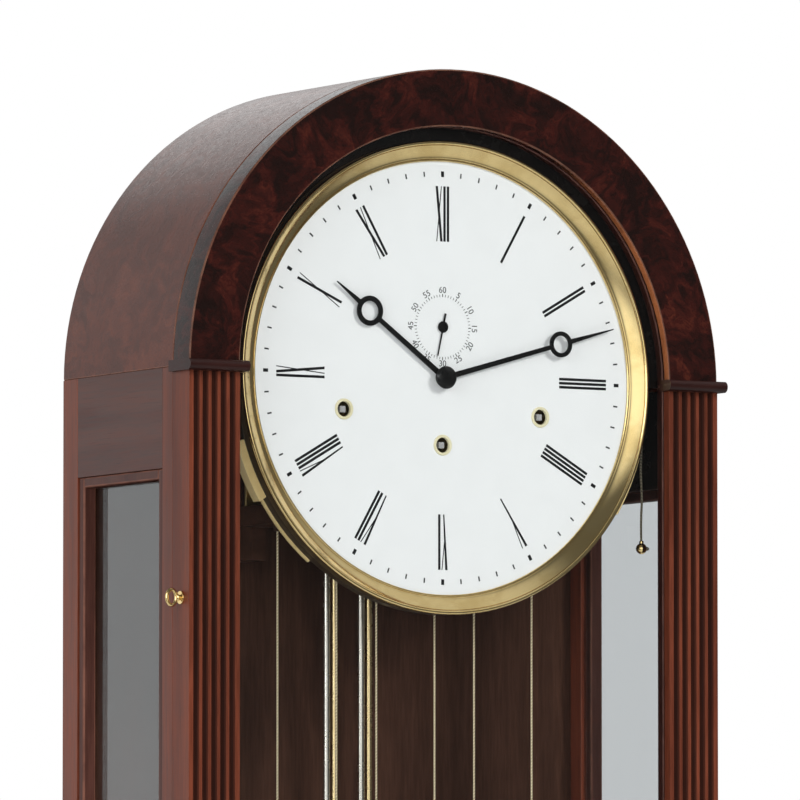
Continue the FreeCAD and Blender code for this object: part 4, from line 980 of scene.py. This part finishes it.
def makeSeconds(rise, radius, fine, bold, numbers, height, proud, extrude):
    bm = bmesh.new()
    for second in range(60):
        tall, wide = fine if second % 5 else bold
        stroke(bm, 0, 0, (wide, wide), radius + tall, radius, dialTurn(6 * second, rise), proud)
    newPiece("secondsTicks", bm, "markGrey", "case")
    bm = bmesh.new()
    stand = Matrix.Rotation(radians(90), 4, "X")
    out = Matrix.Translation(metres(0, -proud / 2, numbers))
    for number in range(5, 65, 5):
        curve = bpy.data.curves.new("digits", "FONT")
        curve.body = str(number)
        curve.align_x = "CENTER"
        curve.align_y = "CENTER"
        curve.extrude = extrude
        text = newObject("digits", curve)
        bpy.context.view_layer.update()
        mesh = bpy.data.meshes.new_from_object(text.evaluated_get(bpy.context.evaluated_depsgraph_get()))
        heights = [v.co.y for v in mesh.vertices]
        grow = height * mm / (max(heights) - min(heights))
        lowerHalf = 90 < 6 * number < 270  # these are turned to read upright
        spin = Matrix.Rotation(pi if lowerHalf else 0, 4, "Y")
        shape = Matrix.Diagonal((grow, grow, proud * mm / (2 * extrude), 1))
        mesh.transform(dialTurn(6 * number, rise) @ out @ spin @ stand @ shape)
        bm.from_mesh(mesh)
        bpy.data.objects.remove(text)
        bpy.data.curves.remove(curve)
        bpy.data.meshes.remove(mesh)
    newPiece("secondsNumbers", bm, "markGrey", "case")


makeNumerals(**numeralSettings)
makeMinutes(**minuteSettings)
makeSeconds(**secondsSettings)
print("dial printed")


# hands and winding holes

for node, edge in (("hour_hand", 0.25), ("minute_hand", 0.25), ("seconds_hand", 0.12)):
    softCopy(node, "handBlack", edge)

nutSettings = {"radius": 8.75, "height": 4.5, "front": -60.1, "roll": 0.6, "rollUp": 0.9, "shoulder": 1.4,
               "domeStart": 25, "domeSteps": 10}


def makeHandNut(radius, height, front, roll, rollUp, shoulder, domeStart, domeSteps):
    profile = [(0, 0), (radius, 0)] + curveOf((radius - roll, rollUp), roll, 0, 60, 4)
    for k in range(domeSteps + 1):
        turn = radians(domeStart + (90 - domeStart) * k / domeSteps)
        profile.append((radius * cos(turn), shoulder + (height - shoulder) * sin(turn)))
    turnedPiece("hand_nut", "handBlack", profile, (dialSpot[0], front, dialSpot[2]), "front", 48)


makeHandNut(**nutSettings)

trainPlaces = {"left": (-87.5, 1718), "centre": (0, 1693.5), "right": (87.5, 1718)}  # barrels' axes
grommetSettings = {"bore": 5.8, "tube": 7, "rim": 8, "back": -2, "roll": 0.5, "rollUp": 0.3}


def makeGrommets(bore, tube, rim, back, roll, rollUp):
    profile = [(bore, back), (tube, back), (tube, 0), (rim, 0)]
    profile += curveOf((rim - roll, rollUp), roll, 0, 90, 4)
    profile += curveOf((bore + roll, rollUp), roll, 90, 180, 4)
    bm = bmesh.new()
    for across, up in trainPlaces.values():
        lathe(bm, profile, (across, dialSpot[1], up), "front", 40, True)
    standIn("winding_grommets", bm, "ringBrass")


makeGrommets(**grommetSettings)
print("hands and winding holes made")


# weights with their cables, pulleys and barrels

trainDepth, axleHeight = 0.5, 1295  # plane of the cables, axles of the pulleys
cableRun = {"hook": 1627, "line": 26, "wire": 0.85, "downSteps": 14, "upSteps": 18, "turnSteps": 24}
weightSettings = {
    "foot": 1052, "top": 1251.7, "yokeTop": 1260, "yoke": 6, "yokeEase": 0.8, "cheek": (5, 7),
    "shape": ((0, 0), (12, 0.3), (20, 1.4), (25, 3.6), (28, 7), (28.8, 9.6), (28.8, 12), (30, 12.6),
              (30, 16.4), (28.8, 17), (28.8, 183), (30, 183.6), (30, 187.4), (28.8, 188), (28.8, 190.4),
              (28, 193), (25, 196.4), (20, 198.6), (12, 199.7), (0, 200)),
    "pin": ((0, -8.2), (2.1, -8.2), (3, -7.4), (3, 7.4), (2.1, 8.2), (0, 8.2)),
}
pulleySettings = {
    "rim": ((20.5, -1.8), (22.5, -2.6), (24.5, -3.4), (28.3, -3.5), (29, -2.9), (28.6, -2.3), (25.3, -0.9),
            (25, 0), (25.3, 0.9), (28.6, 2.3), (29, 2.9), (28.3, 3.5), (24.5, 3.4), (22.5, 2.6), (20.5, 1.8)),
    "hub": ((3.05, -3.5), (6.6, -3.5), (7.4, -2.9), (8, -1.5), (8, 1.5), (7.4, 2.9), (6.6, 3.5), (3.05, 3.5)),
    "spoke": ((-2.64, 7.4), (2.64, 7.4), (1.76, 21.5), (-1.76, 21.5)), "spokes": 5, "half": 1.3,
}
barrelSettings = {
    "rear": 41,  # inside of the rear plate, where the heights start
    "drum": ((4, 8), (12, 8), (12, 8.6), (28, 8.6), (28, 8), (35.4, 8), (36, 8.5), (36, 10.5), (35.4, 11),
             (25, 11), (25, 51), (28.4, 51), (29, 51.5), (29, 52.5), (28.4, 53), (4, 53)),
    "arbor": ((0, -5), (3.5, -5), (4, -4.5), (4, 84), (3.4, 85), (0, 85)),
    "square": 2.4, "squareEnds": (85, 94.6), "squareEase": 0.3,
}


def makeCable(side, hook, line, wire, downSteps, upSteps, turnSteps):
    across, barrel = trainPlaces[side]
    path = [(across - line, hook + (axleHeight - hook) * k / downSteps) for k in range(downSteps + 1)]
    path += curveOf((across, axleHeight), line, 180, 360, turnSteps)[1:-1]
    path += [(across + line, axleHeight + (barrel - axleHeight) * k / upSteps) for k in range(upSteps + 1)]
    path += curveOf((across, barrel), line, 0, 180, turnSteps)[1:]
    bm = bmesh.new()
    tubeAlong(bm, [metres(x, trainDepth, z) for x, z in path], wire * mm)
    piece = newPiece("cable" + side.capitalize(), bm, "cableFinish", None, ("cable_" + side,))
    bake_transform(piece)


def makeWeight(side, foot, top, yokeTop, yoke, yokeEase, cheek, shape, pin):
    across, deep = trainPlaces[side][0], trainDepth
    node = "weight_" + side
    near, far = cheek
    turnedPiece(node, "polishedBrass", shape, (across, deep, foot), "up", 72)
    bm = bmesh.new()
    block(bm, (across - yoke, deep - far, top), (across + yoke, deep + far, yokeTop), yokeEase)
    outline = [(across - yoke, yokeTop - 1), (across + yoke, yokeTop - 1)]
    outline += curveOf((across, axleHeight), yoke, 0, 180, 16)
    for front, back in ((deep - far, deep - near), (deep + near, deep + far)):
        slab(bm, outline, back, front)
    lathe(bm, pin, (across, deep, axleHeight), "front", 24)
    newPiece("stirrup" + side.capitalize(), bm, "satinBrass", bodyOf(node))


def makePulley(side, rim, hub, spoke, spokes, half):
    origin = (trainPlaces[side][0], trainDepth, axleHeight)
    bm = bmesh.new()
    lathe(bm, rim, origin, "front", 72, True)
    lathe(bm, hub, origin, "front", 32, True)
    for turn in range(spokes):
        matrix = Matrix.Translation(metres(*origin)) @ Matrix.Rotation(2 * pi * turn / spokes, 4, "Y")
        slab(bm, spoke, half, -half, matrix)
    standIn("pulley_" + side, bm, "polishedBrass")


def makeBarrel(side, rear, drum, arbor, square, squareEnds, squareEase):
    node = "barrel_" + side
    across, up = trainPlaces[side]
    near, far = squareEnds
    turnedPiece(node, "polishedBrass", drum, (across, rear, up), "front", 72, True)
    bm = bmesh.new()
    lathe(bm, arbor, (across, rear, up), "front", 24)
    low, high = (across - square, rear - far, up - square), (across + square, rear - near, up + square)
    block(bm, low, high, squareEase)
    newPiece("arbor" + side.capitalize(), bm, "arborSteel", bodyOf(node))


for side in trainPlaces:
    makeCable(side, **cableRun)
    makeWeight(side, **weightSettings)
    makePulley(side, **pulleySettings)
    makeBarrel(side, **barrelSettings)
print("weights hung")


# pendulum: lens-shaped bob with a rim, and a rating nut with grips

pendulumPlane = 87.5
bobSettings = {
    "centre": 821, "curve": 260, "bulge": 20, "face": 93, "steps": 24,
    "rim": ((93.4, 3.6), (94.2, 4.2), (96.4, 4.3), (98.6, 3.4), (99.7, 1.8), (100, 0)),
}
ratingSettings = {
    "low": 710.7, "teeth": 36, "notch": 0.955, "grip": 8.7,
    "shape": ((3.05, 0), (7.4, 0), (8.2, 0.7), (9, 1.2), (9, 8.8), (8.2, 9.3), (7.4, 10), (3.05, 10)),
}


def makeBob(centre, curve, bulge, face, steps, rim):
    radii = [face * k / steps for k in range(steps + 1)]
    half = [(radius, sqrt(curve ** 2 - radius * radius) - curve + bulge) for radius in radii] + list(rim)
    profile = half + [(radius, -height) for radius, height in reversed(half[:-1])]
    turnedPiece("pendulum_bob", "polishedBrass", profile, (0, pendulumPlane, centre), "front", 128)


def makeRatingNut(low, teeth, notch, grip, shape):
    bm = bmesh.new()
    lathe(bm, shape, (0, pendulumPlane, low), "up", 2 * teeth, True)
    middle = pendulumPlane * mm
    for vertex in bm.verts:
        across, deep = vertex.co.x, vertex.co.y - middle
        step = round(atan2(deep, across) / (pi / teeth))
        if step % 2 and hypot(across, deep) > grip * mm:
            vertex.co.x = across * notch
            vertex.co.y = middle + deep * notch
    standIn("rating_nut", bm, "polishedBrass")


makeBob(**bobSettings)
makeRatingNut(**ratingSettings)
print("pendulum finished")


# chime: a nest of bells on one rod

chimeSettings = {
    "middle": 12.5, "mouth": 1851, "widest": 26.04, "step": 3, "count": 4, "space": 3, "rod": 3,
    "bar": ((-6, -19, 1840), (6, 44, 1846)), "barEase": 0.8, "rodFoot": -5.2, "rodEase": 0.6,
    # shares of a bell's radius, with the wall in mm below and above the shoulder
    "outside": ((1, 0), (0.985, 0.05), (0.94, 0.17), (0.905, 0.34), (0.87, 0.5), (0.78, 0.64), (0.62, 0.76),
                (0.4, 0.83)),
    "crown": 0.85, "shoulder": 0.6, "wall": 1.8, "thinWall": 0.6, "lip": 1,
    "nut": ((3, 0), (5.4, 0), (5.8, 0.4), (5.8, 1.8), (5.2, 2.3), (3, 2.3)),
}


def makeChime(s):
    bm = bmesh.new()
    block(bm, *s["bar"], s["barEase"])
    rod, wall, mouth = s["rod"], s["wall"], s["mouth"]
    for index in range(s["count"]):
        radius = s["widest"] - index * s["step"]
        rise = radius * s["crown"]
        outer = [(radius * r, radius * h) for r, h in s["outside"]]
        inner = []
        for r, h in outer:
            thick = wall if h < radius * s["shoulder"] else s["thinWall"]
            inner.append((r - thick, h if h < s["lip"] else h - wall))
        profile = outer + [(rod, rise), (rod, rise - wall)] + inner[::-1]
        lathe(bm, profile, (0, s["middle"], mouth), "up", 64, True)
        lathe(bm, s["nut"], (0, s["middle"], mouth + rise), "up", 6, True)
        mouth += rise + s["space"]
    foot, top, eased = s["rodFoot"], mouth - s["mouth"], s["rodEase"]
    profile = [(0, foot), (rod, foot), (rod, top - eased), (rod - eased, top), (0, top)]
    lathe(bm, profile, (0, s["middle"], s["mouth"]), "up", 24)
    standIn("chime_bells", bm, "bellBronze")


makeChime(chimeSettings)


# turned pillars and dial feet of the movement, and the stud of the repeat lever

pillarSettings = {  # places, start, sides, shape
    "pillars": (((-106, 1660), (106, 1660), (-106, 1828), (106, 1828)), 41, 32, (
        (0, 0), (6, 0), (6, 4.6), (5.2, 5.6), (4.3, 7), (4.1, 10), (4.1, 21), (5, 23), (5.8, 25.6), (6, 28.5),
        (5.8, 31.4), (5, 34), (4.1, 36), (4.1, 47), (4.3, 50), (5.2, 51.4), (6, 52.4), (6, 57), (0, 57))),
    "feet": (((-70, 1670), (70, 1670), (-70, 1820), (70, 1820)), -19, 24, (
        (0, 0), (4, 0), (4, 3), (3.2, 4.4), (3.2, 29.6), (4, 31), (4, 34), (0, 34))),
    "stud": (((115, 1715),), -19, 20, ((0, 0), (2, 0), (2, 16.4), (1.6, 17), (0, 17))),
}


def makePillars(s):
    bm = bmesh.new()
    for places, start, sides, shape in s.values():
        for across, up in places:
            lathe(bm, shape, (across, start, up), "front", sides)
    standIn("movement_pillars", bm, "polishedBrass")


makePillars(pillarSettings)


# door key: oval bow, collar, shaft and the cam inside the stile

keySettings = {
    "height": 1570, "depth": -66, "bow": -243.6, "oval": (4, 5.9), "wire": 1.35, "wireSides": 12,
    "bowSteps": 48, "start": -240.2,
    "shaft": ((0, 0), (1.9, 0), (2.9, 0.5), (3.3, 1.2), (2.9, 1.9), (2.1, 2.4), (2, 3), (2, 15.7), (0, 15.7)),
    "cam": ((-227.5, -69, 1567), (-224.5, -63, 1587.5)), "camEase": 0.5,
}


def makeKey(height, depth, bow, oval, wire, wireSides, bowSteps, start, shaft, cam, camEase):
    bm = bmesh.new()
    wide, tall = oval
    angles = [2 * pi * k / wireSides for k in range(wireSides)]
    stations = []
    for step in range(bowSteps):
        turn = 2 * pi * step / bowSteps
        out = Vector((cos(turn) * tall, 0, sin(turn) * wide)).normalized()
        spot = Vector((bow + wide * cos(turn), depth, height + tall * sin(turn)))
        ring = [spot + wire * (cos(t) * out + sin(t) * axisY) for t in angles]
        stations.append([bm.verts.new(corner * mm) for corner in ring])
    skin(bm, stations, True)
    lathe(bm, shaft, (start, depth, height), "side", 28)
    block(bm, *cam, camEase)
    standIn("door_key", bm, "polishedBrass")


makeKey(**keySettings)
print("chime, pillars and key made")


# sheet and bar metalwork with eased edges

metalEdges = {  # node: finish, easing in mm
    "lock_bush": ("polishedBrass", 0.3), "case_hinge_leaves": ("polishedBrass", 0.3),
    "door_hinge_leaves": ("polishedBrass", 0.3), "movement_plates": ("satinBrass", 0.5),
    "suspension_cock": ("polishedBrass", 0.5), "suspension_spring": ("brightSteel", 0.1),
    "pendulum_brass_rods": ("rodBrass", 0.3), "pendulum_steel_rods": ("brightSteel", 0.3),
    "pendulum_crossbars": ("polishedBrass", 0.8), "anchor_and_crutch": ("brightSteel", 0.3),
    "escape_wheel": ("polishedBrass", 0.2), "chime_hammers": ("polishedBrass", 0.3),
    "repeat_lever": ("polishedBrass", 0.5),
}
for node, (finish, edge) in metalEdges.items():
    softCopy(node, finish, edge)
print("metalwork finished:", len(metalEdges))
